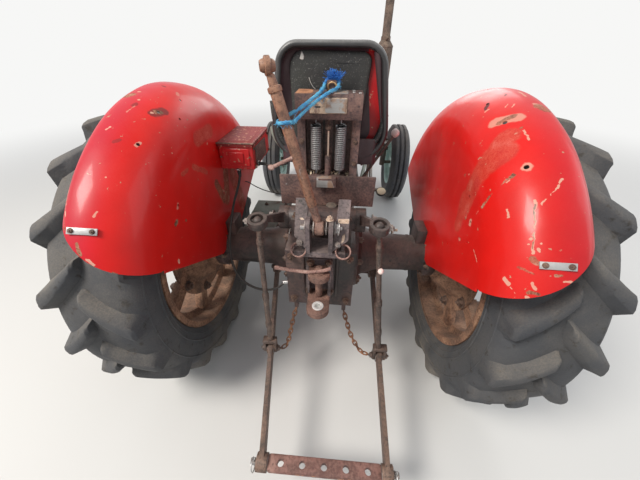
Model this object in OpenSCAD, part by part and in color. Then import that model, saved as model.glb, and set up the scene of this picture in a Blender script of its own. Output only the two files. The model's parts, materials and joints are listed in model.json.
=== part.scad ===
// A small farm tractor of the nineteen-fifties with shell fenders, a sprung seat and a
// three-point linkage whose top link is stowed upright. Y points to the front and Z up.
// The ground is at Z = 0 and the origin lies under the middle of the whole machine.

/* [Stance] */
// Distance between the rear and the front axle
wheelbase = 1829; // [1760:1:1980]
// Distance between the middles of the rear tyres
rear_track = 1330; // [1300:1:1420]
// Distance between the middles of the front tyres
front_track = 1240; // [1220:1:1320]

/* [Rear wheels] */
// Outer diameter of the rear tyres over their lugs
rear_tyre_d = 1200; // [1180:1:1220]
// Width of the rear tyres
rear_tyre_w = 280; // [260:1:290]
// Height of the rear tyres' worn lugs over the middle of the casing
rear_lug_h = 33; // [28:1:38]
// Number of lugs on each half of the rear tyres
rear_lug_n = 18; // [16:1:20]
// How far round the tyre a lug runs from its inner end to its outer end
rear_lug_run = 132; // [120:1:140]
// Outer diameter of the rear rims' flanges
rear_rim_d = 790; // [760:1:810]
// Width of the rear rims between their flanges' outer faces
rear_rim_w = 236; // [220:1:244]
// Thickness of the rims' pressed steel
rim_wall = 8; // [6:1:10]
// Diameter of the opening in the middle of the rear rims
rear_disc_d = 500; // [480:1:560]
// Thickness of the rear wheel discs
rear_disc_t = 10; // [8:1:12]
// Depth of the dish of the rear wheel discs
rear_disc_dish = 90; // [70:1:100]
// Diameter of the rear axle shafts
axle_shaft_d = 60; // [50:1:64]
// Diameter of the rear axle's wheel flanges
axle_flange_d = 210; // [190:1:220]

/* [Front wheels] */
// Outer diameter of the front tyres
front_tyre_d = 735; // [715:1:750]
// Width of the front tyres
front_tyre_w = 165; // [155:1:170]
// Outer diameter of the front rims' flanges
front_rim_d = 440; // [420:1:450]
// Width of the front rims
front_rim_w = 130; // [120:1:136]
// Diameter of the front hubs
front_hub_d = 110; // [100:1:120]
// Diameter of the front stub axles
stub_axle_d = 32; // [28:1:36]

/* [Front axle and steering] */
// Distance from the middle of the front tyre to its kingpin
kingpin_offset = 125; // [120:1:135]
// Diameter of the kingpins
kingpin_d = 38; // [34:1:40]
// Outer diameter of the kingpin sleeves
kingpin_sleeve_d = 58; // [54:1:62]
// Height of the kingpin sleeves' lower faces above the ground
sleeve_bottom_z = 430; // [426:1:440]
// Length of the kingpin sleeves
sleeve_h = 150; // [130:1:160]
// Height of the front axle beam
beam_h = 70; // [60:1:80]
// Depth of the front axle beam
beam_depth = 64; // [56:1:70]
// Length of the steering arms from kingpin to ball pin
steering_arm_l = 140; // [130:1:150]
// Diameter of the steering wheel
steering_wheel_d = 420; // [380:1:440]
// Thickness of the steering wheel's rim
steering_rim_d = 26; // [22:1:30]
// Lean of the steering column from upright, in degrees
column_lean = 30; // [28:1:34]
// Length of the steering column above its box
column_l = 420; // [400:1:440]

/* [Rear axle and transmission] */
// Width of the rear centre housing
centre_w = 250; // [230:1:264]
// Length of the rear centre housing behind the axle
centre_rear = 280; // [265:1:290]
// Height of the rear centre housing's top
centre_top_z = 800; // [785:1:810]
// Height of the rear centre housing's underside
centre_bottom_z = 400; // [390:1:410]
// Diameter of the axle trumpets at their outer end
trumpet_d = 160; // [150:1:170]
// Diameter of the axle trumpets' inner flange
trumpet_flange_d = 330; // [310:1:340]
// Distance between the outer faces of the two trumpets
trumpet_span = 980; // [970:1:990]
// Width of the gearbox
gearbox_w = 240; // [220:1:250]
// Width of the clutch housing where it meets the engine
bell_w = 330; // [310:1:340]

/* [Engine] */
// Width of the engine block
engine_w = 230; // [210:1:240]
// Length of the engine block
engine_l = 640; // [620:1:650]
// Diameter of the exhaust pipe
exhaust_d = 50; // [44:1:54]
// Diameter of the exhaust silencer
silencer_d = 100; // [90:1:110]
// Height of the exhaust pipe's open end above the ground
exhaust_top_z = 1880; // [1840:1:1920]

/* [Bonnet] */
// Width of the bonnet
bonnet_w = 430; // [410:1:440]
// Height of the bonnet's crown above the ground
bonnet_top_z = 1240; // [1225:1:1250]
// Thickness of the sheet metal
sheet_t = 4; // [3:1:5]
// Distance of the nose's front face ahead of the front axle
nose_ahead = 300; // [280:1:320]

/* [Fenders] */
// Distance of the fenders' flat inner plates from the middle
fender_inner_x = 442; // [436:1:450]
// Height of the fenders' crown over the rear tyre's lugs
fender_clear = 75; // [70:1:90]
// Radius of the wide bend between crown and inner plate
fender_bend_r = 150; // [140:1:155]
// Radius of the narrow bend at the crown's outer edge
fender_edge_r = 36; // [30:1:44]
// Radius of the round outer corner at the rear of the fenders
fender_corner_r = 250; // [220:1:280]
// Angle of the fenders' rear lip above the level of the axle, in degrees
fender_rear_a = 28; // [24:1:31]
// Angle of the fenders' front edge above the level of the axle, in degrees
fender_front_a = 22; // [16:1:26]

/* [Seat] */
// Offset of the seat and its frame to the right of the middle
seat_x = 12; // [0:1:16]
// Width of the seat's back at its widest
seat_w = 396; // [380:1:410]
// Width of the top of the seat's back
seat_top_w = 344; // [330:1:360]
// Height of the top of the seat's back above the ground
seat_top_z = 1398; // [1390:1:1410]
// Depth of the seat's back from its rear rim to the cushion
seat_back_d = 46; // [40:1:50]
// Height of the seat pan above the ground
seat_pan_z = 1036; // [1032:1:1040]
// Length of the seat pan
seat_pan_l = 360; // [340:1:380]
// Thickness of the seat's shell
seat_shell_t = 14; // [12:1:18]
// Width of the seat's suspension frame
seat_frame_w = 200; // [190:1:210]
// Height of the top of the seat's suspension frame above the ground
frame_top_z = 1272; // [1260:1:1280]
// Distance of the seat's springs from the frame's middle
seat_spring_x = 40; // [36:1:44]
// Outer diameter of the seat's coil springs
seat_spring_d = 36; // [32:1:38]

/* [Linkage] */
// Distance from the rear axle back to the lower links' rear balls
link_reach = 737; // [720:1:750]
// Height of the lower links' rear balls
link_end_z = 250; // [235:1:265]
// Height of the lower links' front pins
link_pin_z = 440; // [430:1:450]
// Distance of the left link's rear ball from the middle
link_left_x = 157; // [150:1:165]
// Distance of the right link's rear ball from the middle
link_right_x = 258; // [250:1:266]
// Distance of the lower links' front pins from the middle
link_pin_x = 245; // [238:1:252]
// Diameter of the bore in the lower links' balls
link_ball_bore = 22.4; // [19:0.1:25]
// Thickness of the lower links
link_t = 16; // [12:1:18]
// Diameter of the bore in the top link's ball
top_link_bore = 19.3; // [18:0.1:25]
// Length of the stowed top link between its pins
top_link_l = 455; // [445:1:465]
// Height of the lift shaft
lift_shaft_z = 875; // [872:1:880]
// Length of the lift arms
lift_arm_l = 233; // [228:1:238]
// Angle of the lift arms above level at rest, in degrees
lift_arm_a = 27.5; // [24:0.5:30]
// Diameter of the lift rods
lift_rod_d = 20; // [18:1:24]
// Outer diameter of the rings at the lift arms' ends
lift_ring_d = 56; // [54:1:60]
// Diameter of the hole in the rings at the lift arms' ends
lift_ring_hole = 37; // [36:1:40]
// Width of the linkage drawbar
drawbar_w = 48; // [44:1:54]
// Thickness of the linkage drawbar
drawbar_t = 24; // [20:1:28]
// Diameter of the holes in the linkage drawbar
drawbar_hole_d = 22; // [18:1:24]
// Distance between the holes in the linkage drawbar
drawbar_pitch = 72.5; // [68:0.5:76]
// Diameter of the bore in the hitch tongue
hitch_bore = 26; // [22:1:30]

/* [Hidden] */

$fn = 64;

// Longitudinal stations, all from the rear axle's place
centre_front = 230;
bell_l = 210;
engine_to_axle = 279;
front_reach = wheelbase + front_tyre_d / 2;
link_eye_r = 28;
rear_reach = link_reach + link_eye_r;
axle_y = (rear_reach - front_reach) / 2;
front_axle_y = axle_y + wheelbase;
rear_r = rear_tyre_d / 2;
front_r = front_tyre_d / 2;

// Running clearance of a shaft in its bore, and the gap of parts that meet without sliding
fit = 0.05;
seat_gap = 0.3;

// Sides: -1 is left and 1 is right
left = -1;
right = 1;

// A rod between two points
module rod(p, q, d) {
    v = q - p;
    l = norm(v);
    translate(p)
        rotate([0, acos(v[2] / l), atan2(v[1], v[0])])
            cylinder(h = l, d = d);
}

// A flat bar between two points, w wide in its own plane and t thick along X
module bar_yz(p, q, w, t) {
    v = q - p;
    l = norm(v);
    a = atan2(v[2], v[1]);
    translate(p)
        rotate([a, 0, 0])
            rotate([0, 0, -atan2(v[0], norm([v[1], v[2]]))])
                translate([-t / 2, 0, -w / 2])
                    cube([t, l, w]);
}

// A disc or drum lying along X, its middle at p
module drum_x(p, d, w) {
    translate(p)
        rotate([0, 90, 0])
            cylinder(h = w, d = d, center = true);
}

// A drum lying along Y, from its rear face at p
module drum_y(p, d, l) {
    translate(p)
        rotate([-90, 0, 0])
            cylinder(h = l, d = d);
}

// A box given by its middle in X, its rear, its bottom and its size
module block(x, y, z, w, l, h) {
    translate([x - w / 2, y, z])
        cube([w, l, h]);
}

// A rectangle with round corners, its middle at the origin
module round_rect(w, h, r) {
    square([w - 2 * r, h], center = true);
    square([w, h - 2 * r], center = true);
    for (sx = [-1, 1], sy = [-1, 1])
        translate([sx * (w / 2 - r), sy * (h / 2 - r)])
            circle(r);
}

// Rear centre housing with the lift cover on top and the lift shaft across it
lift_shaft_y = axle_y - 178;
lift_shaft_d = 50;
lift_drum_d = 84;
lift_cover_w = 210;
lift_cover_rear = 235;
lift_cover_l = 385;
lift_cover_top_z = lift_shaft_z + 25;
centre_belly_z = 530;
centre_belly_y = axle_y - 150;
chain_lug_x = 97;
chain_lug_z = 496;
module centre_housing() {
    rear = axle_y - centre_rear;
    color("#3d3532") {
        difference() {
            union() {
                translate([-centre_w / 2, 0, 0])
                    rotate([90, 0, 90])
                        linear_extrude(height = centre_w)
                            polygon([
                                [rear, centre_belly_z], [centre_belly_y, centre_bottom_z],
                                [axle_y + centre_front, centre_bottom_z],
                                [axle_y + centre_front, centre_top_z], [rear, centre_top_z]]);
                block(0, axle_y - lift_cover_rear, centre_top_z, lift_cover_w, lift_cover_l,
                    lift_cover_top_z - centre_top_z);
                drum_x([0, lift_shaft_y, lift_shaft_z], lift_drum_d, lift_cover_w + 24);
            }
            drum_x([0, lift_shaft_y, lift_shaft_z], lift_shaft_d + 2 * fit, centre_w + 100);
        }
        drum_y([0, rear - 22, 570], 76, 30);
        drum_x([-centre_w / 2 - 8, axle_y - 190, 553], 20, 18);
        for (s = [left, right])
            block(s * chain_lug_x, rear + 4, chain_lug_z, 16, 22, 60);
    }
}

// Trumpet castings between the centre housing and the rear wheels
trumpet_out = trumpet_span / 2;
trumpet_in = centre_w / 2;
link_pin_y = axle_y + 30;
module axle_trumpets() {
    color("#3a2f30")
        for (s = [left, right]) {
            rod([s * (trumpet_in + 10), link_pin_y, link_pin_z],
                [s * (link_pin_x + 30), link_pin_y, link_pin_z], link_ball_bore);
            block(s * (fender_inner_x - seat_gap - 20), axle_y - 30, rear_r + 55, 40, 90, 85);
            translate([s * trumpet_in, axle_y, rear_r])
                rotate([0, s * 90, 0])
                    difference() {
                        rotate_extrude()
                            polygon([
                                [0, 0], [trumpet_flange_d / 2, 0], [trumpet_flange_d / 2, 22],
                                [trumpet_d / 2 + 34, 40], [trumpet_d / 2 + 6, 120],
                                [trumpet_d / 2, trumpet_out - trumpet_in - 40],
                                [trumpet_d / 2 + 22, trumpet_out - trumpet_in - 30],
                                [trumpet_d / 2 + 22, trumpet_out - trumpet_in],
                                [0, trumpet_out - trumpet_in]]);
                        translate([0, 0, trumpet_out - trumpet_in - 120])
                            cylinder(h = 121, d = axle_shaft_d + 2 * fit);
                    }
        }
}

// Gearbox, from the centre housing forward, and the clutch housing behind the engine
gearbox_y = axle_y + centre_front;
gearbox_l = wheelbase - centre_front - bell_l - engine_l - engine_to_axle;
engine_y = gearbox_y + gearbox_l + bell_l;
gearbox_bottom_z = 450;
gearbox_top_z = 745;
bell_top_z = 790;
module transmission() {
    color("#6b5a55") {
        block(0, gearbox_y, gearbox_bottom_z, gearbox_w, gearbox_l,
            gearbox_top_z - gearbox_bottom_z);
        block(0, gearbox_y + gearbox_l, gearbox_bottom_z - 15, bell_w, bell_l,
            bell_top_z - gearbox_bottom_z + 15);
        block(0, gearbox_y + 60, gearbox_top_z, 150, 220, 30);
        drum_x([-gearbox_w / 2 - 5, axle_y + 330, 716], 16, 14);
    }
}

// Engine block with sump, cylinder head, manifold side, dynamo and filter
engine_bottom_z = 440;
engine_top_z = 1020;
module engine() {
    head_z = 900;
    color("#5d5f5e") {
        block(0, engine_y, engine_bottom_z + 110, engine_w, engine_l, head_z - engine_bottom_z - 110);
        block(0, engine_y + 10, engine_bottom_z, engine_w - 20, engine_l - 80, 110);
        block(0, engine_y + 20, head_z, engine_w - 40, engine_l - 50, 70);
        block(0, engine_y + 40, head_z + 70, 120, engine_l - 110, engine_top_z - head_z - 70);
        drum_y([-engine_w / 2 - 46, engine_y + 330, 640], 104, 220);
        block(-engine_w / 2 - 20, engine_y + 370, 600, 60, 120, 90);
        drum_y([engine_w / 2 + 34, engine_y + 40, 560], 96, 200);
        block(engine_w / 2 + 10, engine_y + 90, 530, 60, 100, 60);
        translate([-engine_w / 2 - 42, engine_y + 170, 600])
            cylinder(h = 190, d = 88);
        block(-engine_w / 2 - 20, engine_y + 140, 660, 50, 60, 60);
        drum_y([0, engine_y + engine_l, 710], 120, 34);
        drum_y([0, engine_y + engine_l, 850], 110, 34);
    }
}

// Cast bracket that carries the radiator and the front axle's pivot
support_y = engine_y + engine_l;
beam_mid_z = 470;
beam_pin_d = 40;
module front_support() {
    color("#3b3c3c")
        difference() {
            union() {
                block(0, support_y, 570, 250, front_axle_y + 190 - support_y, 70);
                block(0, front_axle_y - 95, 420, 130, 55, 151);
                block(0, front_axle_y + 40, 420, 130, 65, 151);
                block(0, support_y, 440, 200, 14, 131);
            }
            drum_y([0, front_axle_y - 120, beam_mid_z], beam_pin_d + 2 * fit, 240);
        }
}

// Front axle: a middle beam on its pivot pin, and an extension to each kingpin sleeve
kingpin_x = front_track / 2 - kingpin_offset;
module front_axle_beam() {
    color("#40403e")
        difference() {
            union() {
                block(0, front_axle_y - beam_depth / 2, beam_mid_z - beam_h / 2 - 6, 500,
                    beam_depth, beam_h + 12);
                block(0, front_axle_y - beam_depth / 2 + 5, beam_mid_z - beam_h / 2,
                    2 * kingpin_x - 20, beam_depth - 10, beam_h);
                for (s = [left, right])
                    translate([s * kingpin_x, front_axle_y, sleeve_bottom_z])
                        cylinder(h = sleeve_h, d = kingpin_sleeve_d);
                drum_y([0, front_axle_y - 95, beam_mid_z], beam_pin_d, 200);
            }
            for (s = [left, right])
                translate([s * kingpin_x, front_axle_y, sleeve_bottom_z - 1])
                    cylinder(h = sleeve_h + 2, d = kingpin_d + 2 * fit);
        }
}

// Radius rods that brace the axle beam from the clutch housing
module radius_rods() {
    color("#6d7a70")
        for (s = [left, right]) {
            front = [s * 330, front_axle_y - beam_depth / 2 - seat_gap, beam_mid_z];
            rear = [s * (bell_w / 2 + 18), gearbox_y + gearbox_l + 60, beam_mid_z];
            rod(front, rear, 30);
            drum_x(rear, 54, 36 - 2 * seat_gap);
        }
}

// Knuckle: kingpin, stub axle and the steering arm on top, which points back; the right
// one also has an arm that points inwards to the drag link
arm_t = 18;
arm_z = sleeve_bottom_z + sleeve_h + seat_gap;
module knuckle(s) {
    color("#3c3b39")
        translate([s * kingpin_x, front_axle_y, 0]) {
            translate([0, 0, front_r - 24])
                cylinder(h = arm_z + arm_t - front_r + 24, d = kingpin_d);
            translate([0, 0, front_r - 30])
                cylinder(h = sleeve_bottom_z - seat_gap - front_r + 30, d = kingpin_sleeve_d - 4);
            translate([0, 0, front_r])
                rotate([0, s * 90, 0])
                    cylinder(h = kingpin_offset - 10, d = stub_axle_d);
            translate([0, 0, arm_z])
                cylinder(h = arm_t + 8, d = kingpin_sleeve_d);
            translate([-17, -steering_arm_l, arm_z])
                cube([34, steering_arm_l, arm_t]);
            translate([0, -steering_arm_l, arm_z])
                cylinder(h = arm_t, d = 40);
            translate([0, -steering_arm_l, arm_z - 40])
                cylinder(h = 42, d = 16);
            if (s == right) {
                translate([-steering_arm_l, -17, arm_z])
                    cube([steering_arm_l, 34, arm_t]);
                translate([-steering_arm_l, 0, arm_z])
                    cylinder(h = arm_t, d = 40);
                translate([-steering_arm_l, 0, arm_z + arm_t - 1])
                    cylinder(h = 44, d = 16);
            }
        }
}

// Tie rod behind the front axle, between the pins of the two steering arms
tie_z = arm_z - 26;
eye_h = 26;
eye_d = 38;
pin_bore = 16 + 2 * fit;
module tie_rod() {
    y = front_axle_y - steering_arm_l;
    color("#4a4440")
        difference() {
            union() {
                rod([-kingpin_x + 10, y, tie_z], [kingpin_x - 10, y, tie_z], 24);
                for (s = [left, right])
                    translate([s * kingpin_x, y, tie_z - eye_h / 2])
                        cylinder(h = eye_h, d = eye_d);
            }
            for (s = [left, right])
                translate([s * kingpin_x, y, tie_z - eye_h])
                    cylinder(h = 2 * eye_h, d = pin_bore);
        }
}

// Drag link from the steering box's drop arm to the right knuckle's inward arm
drop_arm_t = 16;
drop_arm_y = engine_y - 150;
drop_arm_x = 240;
drop_arm_l = 210;
drag_z = arm_z + arm_t + 22;
drop_shaft_z = drag_z + drop_arm_l;
module drag_link() {
    front = [kingpin_x - steering_arm_l, front_axle_y, drag_z];
    rear = [drop_arm_x + drop_arm_t / 2 + seat_gap + 20, drop_arm_y, drag_z];
    color("#4a4440")
        difference() {
            union() {
                rod(front, rear, 24);
                translate(front - [0, 0, eye_h / 2])
                    cylinder(h = eye_h, d = eye_d);
                drum_x(rear, eye_d, 40);
            }
            translate(front - [0, 0, eye_h])
                cylinder(h = 2 * eye_h, d = pin_bore);
        }
}

// Drop arm on the steering box's cross shaft
module drop_arm() {
    color("#3c3b39") {
        bar_yz([drop_arm_x, drop_arm_y, drop_shaft_z], [drop_arm_x, drop_arm_y, drag_z], 34, drop_arm_t);
        drum_x([drop_arm_x, drop_arm_y, drop_shaft_z], 56, drop_arm_t);
        drum_x([drop_arm_x, drop_arm_y, drag_z], 38, drop_arm_t);
        drum_x([drop_arm_x - 55, drop_arm_y, drop_shaft_z], 30, 110);
    }
}

// Pressed wheel of a front wheel with its hub
module front_rim(s) {
    w = front_rim_w / 2;
    r = front_rim_d / 2;
    hub_in = 40;
    color("#8fa59a")
        translate([s * front_track / 2, front_axle_y, front_r])
            rotate([0, s * 90, 0])
                difference() {
                    union() {
                        rotate_extrude()
                            polygon([
                                [r - 20, -w], [r, -w], [r, -w + 8], [r - 18, -w + 14],
                                [r - 18, -24], [r - 40, -14], [r - 40, 14], [r - 18, 24],
                                [r - 18, w - 14], [r, w - 8], [r, w], [r - 20, w],
                                [r - 26, w - 10], [r - 26, 30], [r - 48, 18],
                                [front_hub_d / 2 + 8, -16], [front_hub_d / 2 + 8, -24],
                                [r - 48, 6], [r - 48, -18], [r - 26, -30], [r - 26, -w + 10]]);
                        translate([0, 0, -hub_in])
                            cylinder(h = hub_in + 40, d = front_hub_d);
                        translate([0, 0, -28])
                            cylinder(h = 14, d = front_hub_d + 30);
                        translate([0, 0, 40])
                            cylinder(h = 24, d = 62);
                    }
                    translate([0, 0, -hub_in - 1])
                        cylinder(h = hub_in + 36, d = stub_axle_d + 2 * fit);
                }
}

// Front tyre, a ribbed casing around its rim
module front_tyre(s) {
    r = front_r;
    b = front_rim_d / 2;
    w = front_tyre_w / 2;
    color("#34363a")
        translate([s * front_track / 2, front_axle_y, front_r])
            rotate([0, s * 90, 0])
                rotate_extrude($fn = 96)
                    polygon([
                        [b - 18 + seat_gap, -front_rim_w / 2 + 14],
                        [b + seat_gap, -front_rim_w / 2 + 8],
                        [b + 40, -w + 4], [b + 80, -w], [r - 34, -w + 8], [r - 12, -w + 22],
                        [r - 2, -w + 34], [r - 2, -30], [r - 14, -26], [r - 14, -16],
                        [r, -12], [r, 12], [r - 14, 16], [r - 14, 26], [r - 2, 30],
                        [r - 2, w - 34], [r - 12, w - 22], [r - 34, w - 8], [b + 80, w],
                        [b + 40, w - 4], [b + seat_gap, front_rim_w / 2 - 8],
                        [b - 18 + seat_gap, front_rim_w / 2 - 14]]);
}

// Rear wheel: rim, dished disc on its lugs, hub flange and axle shaft
module rear_rim(s) {
    w = rear_rim_w / 2;
    r = rear_rim_d / 2;
    disc_r = rear_disc_d / 2;
    flange_x = trumpet_out + seat_gap - rear_track / 2;
    dish_x = flange_x + 26 + rear_disc_dish;
    lug_n = 8;
    well_w = 34;
    lug_x = dish_x - 12 + rear_disc_t - 1;
    lug_low = min(lug_x, well_w - 10);
    lug_high = max(lug_x + 20, 10 - well_w);
    color("#6e4a38")
        translate([s * rear_track / 2, axle_y, rear_r])
            rotate([0, s * 90, 0])
                union() {
                    rotate_extrude($fn = 96)
                        polygon([
                            [r - 26, -w], [r, -w], [r, -w + rim_wall], [r - 20, -w + 14],
                            [r - 22, -50], [r - 50, -well_w], [r - 50, well_w], [r - 22, 50],
                            [r - 20, w - 14], [r, w - rim_wall], [r, w], [r - 26, w],
                            [r - 22 - rim_wall, 50 + rim_wall / 2],
                            [r - 50 - rim_wall, well_w + rim_wall / 2],
                            [r - 50 - rim_wall, -well_w - rim_wall / 2],
                            [r - 22 - rim_wall, -50 - rim_wall / 2]]);
                    rotate_extrude($fn = 96)
                        polygon([
                            [0, flange_x + 26], [130, flange_x + 26],
                            [disc_r - 60, dish_x - 12], [disc_r, dish_x - 12],
                            [disc_r, dish_x - 12 + rear_disc_t],
                            [disc_r - 64, dish_x - 12 + rear_disc_t],
                            [126, flange_x + 26 + rear_disc_t], [0, flange_x + 26 + rear_disc_t]]);
                    for (i = [0 : lug_n - 1])
                        rotate([0, 0, (i + 0.5) * 360 / lug_n])
                            translate([disc_r - 30, -26, lug_low])
                                cube([r - 50 - disc_r + 30, 52, lug_high - lug_low]);
                    translate([0, 0, flange_x])
                        cylinder(h = 27, d = axle_flange_d);
                    translate([0, 0, flange_x - 110])
                        cylinder(h = 111, d = axle_shaft_d);
                    translate([0, 0, flange_x + 30])
                        cylinder(h = 50, d = 90);
                }
}

// Rear tyre: its casing, and lugs that lean to meet in a chevron with blunt ends
module rear_tyre(s) {
    r = rear_r - rear_lug_h;
    b = rear_rim_d / 2;
    w = rear_tyre_w / 2;
    color("#3a3c42")
        translate([s * rear_track / 2, axle_y, rear_r])
            rotate([0, s * 90, 0]) {
                rotate_extrude($fn = 96)
                    polygon([
                        [b - 20 + seat_gap, -rear_rim_w / 2 + 14],
                        [b + seat_gap, -rear_rim_w / 2 + rim_wall],
                        [b + 36, -w + 8], [b + 75, -w], [r - 60, -w + 1], [r - 26, -w + 12],
                        [r - 8, -w + 36], [r, -w + 90], [r, w - 90],
                        [r - 8, w - 36], [r - 26, w - 12], [r - 60, w - 1],
                        [b + 75, w], [b + 36, w - 8], [b + seat_gap, rear_rim_w / 2 - rim_wall],
                        [b - 20 + seat_gap, rear_rim_w / 2 - 14]]);
                for (half = [-1, 1], i = [0 : rear_lug_n - 1])
                    rotate([0, 0, (i + (half + 1) / 4) * 360 / rear_lug_n])
                        rear_lug(s, half);
            }
}

// One lug, from the middle of the tread out over the shoulder; its flat crest keeps within
// the tyre's outer diameter at both ends
module rear_lug(s, half) {
    w = rear_tyre_w / 2;
    inner_w = 48;
    outer_w = 62;
    blunt = 12;
    crest = sqrt(pow(rear_r, 2) - pow(rear_lug_run / 2 + outer_w / 2, 2));
    foot = rear_r - rear_lug_h - 62;
    a = -s * rear_lug_run / 2;
    c = s * rear_lug_run / 2;
    translate([foot, 0, 0])
        rotate([90, 0, 90])
            linear_extrude(height = crest - foot)
                polygon([
                    [a - inner_w / 2 + blunt, -6 * half], [a + inner_w / 2 - blunt, -6 * half],
                    [a + inner_w / 2, (blunt - 6) * half], [c + outer_w / 2, (w - 1 - blunt) * half],
                    [c + outer_w / 2 - blunt, (w - 1) * half],
                    [c - outer_w / 2 + blunt, (w - 1) * half],
                    [c - outer_w / 2, (w - 1 - blunt) * half],
                    [a - inner_w / 2, (blunt - 6) * half]]);
}

// Shell fender: a crown swept about the axle, with a wide bend down to the flat inner
// plate, a narrow bend at the outer edge and a round corner at the rear
fender_r = rear_r + fender_clear;
fender_w = fender_bend_r + fender_edge_r;
fender_t = sheet_t;
fender_skirt = 10;
fender_notch_y = 112;
fender_notch_z = 27;
module fender_section(inset) {
    k = fender_bend_r;
    e = fender_edge_r;
    translate([0, inset])
        square([fender_r - k, fender_w - 2 * inset]);
    intersection() {
        translate([fender_r - k, k])
            circle(k - inset);
        square([fender_r, k]);
    }
    translate([0, k])
        square([fender_r - e, fender_w - k - inset]);
    intersection() {
        translate([fender_r - e, fender_w - e])
            circle(e - inset);
        translate([0, k])
            square([fender_r, e]);
    }
}
module fender(s) {
    corner_x = fender_w - fender_corner_r + 8;
    corner_t = sqrt(pow(fender_corner_r, 2) - pow(corner_x, 2));
    color("#c8141c")
        difference() {
            translate([s * fender_inner_x, axle_y, rear_r])
                rotate([0, s * 90, 0])
                    difference() {
                        rotate_extrude($fn = 96)
                            difference() {
                                fender_section(0);
                                fender_section(fender_t);
                                translate([-1, fender_bend_r])
                                    square([fender_r - fender_edge_r - fender_skirt + 1, fender_w]);
                            }
                        fender_cut(s);
                        translate([0, 0, -1])
                            cylinder(h = fender_w, d = trumpet_d + 4);
                    }
            // Round outer corner, cut square to the rear lip
            translate([s * fender_inner_x, axle_y, rear_r])
                rotate([90 - fender_rear_a, 0, 0])
                    translate([0, 0, fender_r - fender_bend_r])
                        linear_extrude(height = fender_r)
                            difference() {
                                translate([s > 0 ? -20 : -fender_w - 20, -fender_r])
                                    square([fender_w + 40, fender_r + corner_t]);
                                translate([s * corner_x, corner_t])
                                    circle(fender_corner_r, $fn = 96);
                            }
        }
}

// What lies below the fender's lower edges; here X points down and Y to the front
module fender_cut(s) {
    far = 2 * fender_r;
    drop = s > 0 ? 1 : -1;
    rear_y = -fender_r * cos(fender_rear_a);
    rear_z = fender_r * sin(fender_rear_a);
    front_y = fender_r * cos(fender_front_a);
    front_z = fender_r * sin(fender_front_a);
    translate([0, 0, -1])
        linear_extrude(height = fender_w + 2)
            polygon([
                for (p = [
                    [-far, rear_z], [rear_y, rear_z], [-fender_notch_y, fender_notch_z],
                    [fender_notch_y, fender_notch_z], [front_y, front_z], [far, front_z],
                    [far, -far], [-far, -far]])
                    [-drop * p[1], p[0]]]);
}

// Left foot plate on two brackets beside the gearbox; the right one is missing
foot_z = 505;
foot_t = 6;
foot_to_bell = 90;
foot_in_x = 255;
foot_out_x = 490;
foot_y = axle_y + 240;
foot_l = gearbox_y + gearbox_l - foot_y - foot_to_bell;
module footplate() {
    bracket_in = gearbox_w / 2 + seat_gap;
    color("#59605a") {
        block(-(foot_in_x + foot_out_x) / 2, foot_y, foot_z, foot_out_x - foot_in_x, foot_l, foot_t);
        for (y = [foot_y + 40, foot_y + foot_l - 70])
            block(-(bracket_in + foot_out_x - 60) / 2, y, foot_z - 34, foot_out_x - 60 - bracket_in,
                30, 35);
    }
}

// Bonnet: crowned sheet with open ends and an open underside
bonnet_y = engine_y - 60;
nose_y = front_axle_y + nose_ahead;
nose_l = 330;
bonnet_l = nose_y - nose_l - bonnet_y;
bonnet_side_z = 1010;
bonnet_corner = 90;
module hood_outline(w, z_low, z_top, r) {
    translate([0, z_low])
        difference() {
            union() {
                translate([-w / 2, 0])
                    square([w, z_top - z_low - r]);
                translate([-w / 2 + r, 0])
                    square([w - 2 * r, z_top - z_low]);
                for (s = [-1, 1])
                    translate([s * (w / 2 - r), z_top - z_low - r])
                        circle(r);
            }
        }
}
module hood_shell(w, z_low, z_top, r, l) {
    translate([0, l, 0])
        rotate([90, 0, 0])
            linear_extrude(height = l)
                difference() {
                    hood_outline(w, z_low, z_top, r);
                    translate([0, -sheet_t])
                        hood_outline(w - 2 * sheet_t, z_low, z_top, r - sheet_t);
                }
}
module bonnet() {
    color("#b3151b")
        translate([0, bonnet_y, 0])
            hood_shell(bonnet_w, bonnet_side_z, bonnet_top_z, bonnet_corner, bonnet_l - seat_gap);
}

// Nose: the deeper cowl around the radiator, with its grille of upright bars
nose_bottom_z = 640;
module nose() {
    grille_w = 300;
    grille_h = 430;
    grille_z = 700;
    bar_n = 11;
    color("#b3151b")
        translate([0, nose_y - nose_l, 0]) {
            difference() {
                union() {
                    hood_shell(bonnet_w, nose_bottom_z, bonnet_top_z, bonnet_corner, nose_l);
                    translate([0, nose_l, 0])
                        rotate([90, 0, 0])
                            linear_extrude(height = sheet_t)
                                hood_outline(bonnet_w, nose_bottom_z, bonnet_top_z, bonnet_corner);
                    block(0, nose_l - 200, nose_bottom_z, bonnet_w - 2, 200, sheet_t);
                }
                block(0, nose_l - 20, grille_z, grille_w, 40, grille_h);
            }
            for (i = [0 : bar_n - 1])
                block((i - (bar_n - 1) / 2) * grille_w / bar_n, nose_l - 12, grille_z - 4, 7, 10,
                    grille_h + 8);
            block(0, nose_l - 14, grille_z - 4, 14, 16, grille_h + 8);
        }
}

// Radiator on the front support
radiator_l = 70;
radiator_y = front_axle_y - 20;
radiator_w = 340;
radiator_h = 460;
radiator_cap_d = 50;
radiator_cap_top_z = bonnet_top_z - 90;
module radiator() {
    bottom_z = nose_bottom_z + seat_gap;
    cap_z = bottom_z + radiator_h - 10;
    color("#4b4a46") {
        block(0, radiator_y, bottom_z, radiator_w, radiator_l, radiator_h);
        translate([0, radiator_y + radiator_l / 2, cap_z])
            cylinder(h = radiator_cap_top_z - cap_z, d = radiator_cap_d);
    }
}

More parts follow.
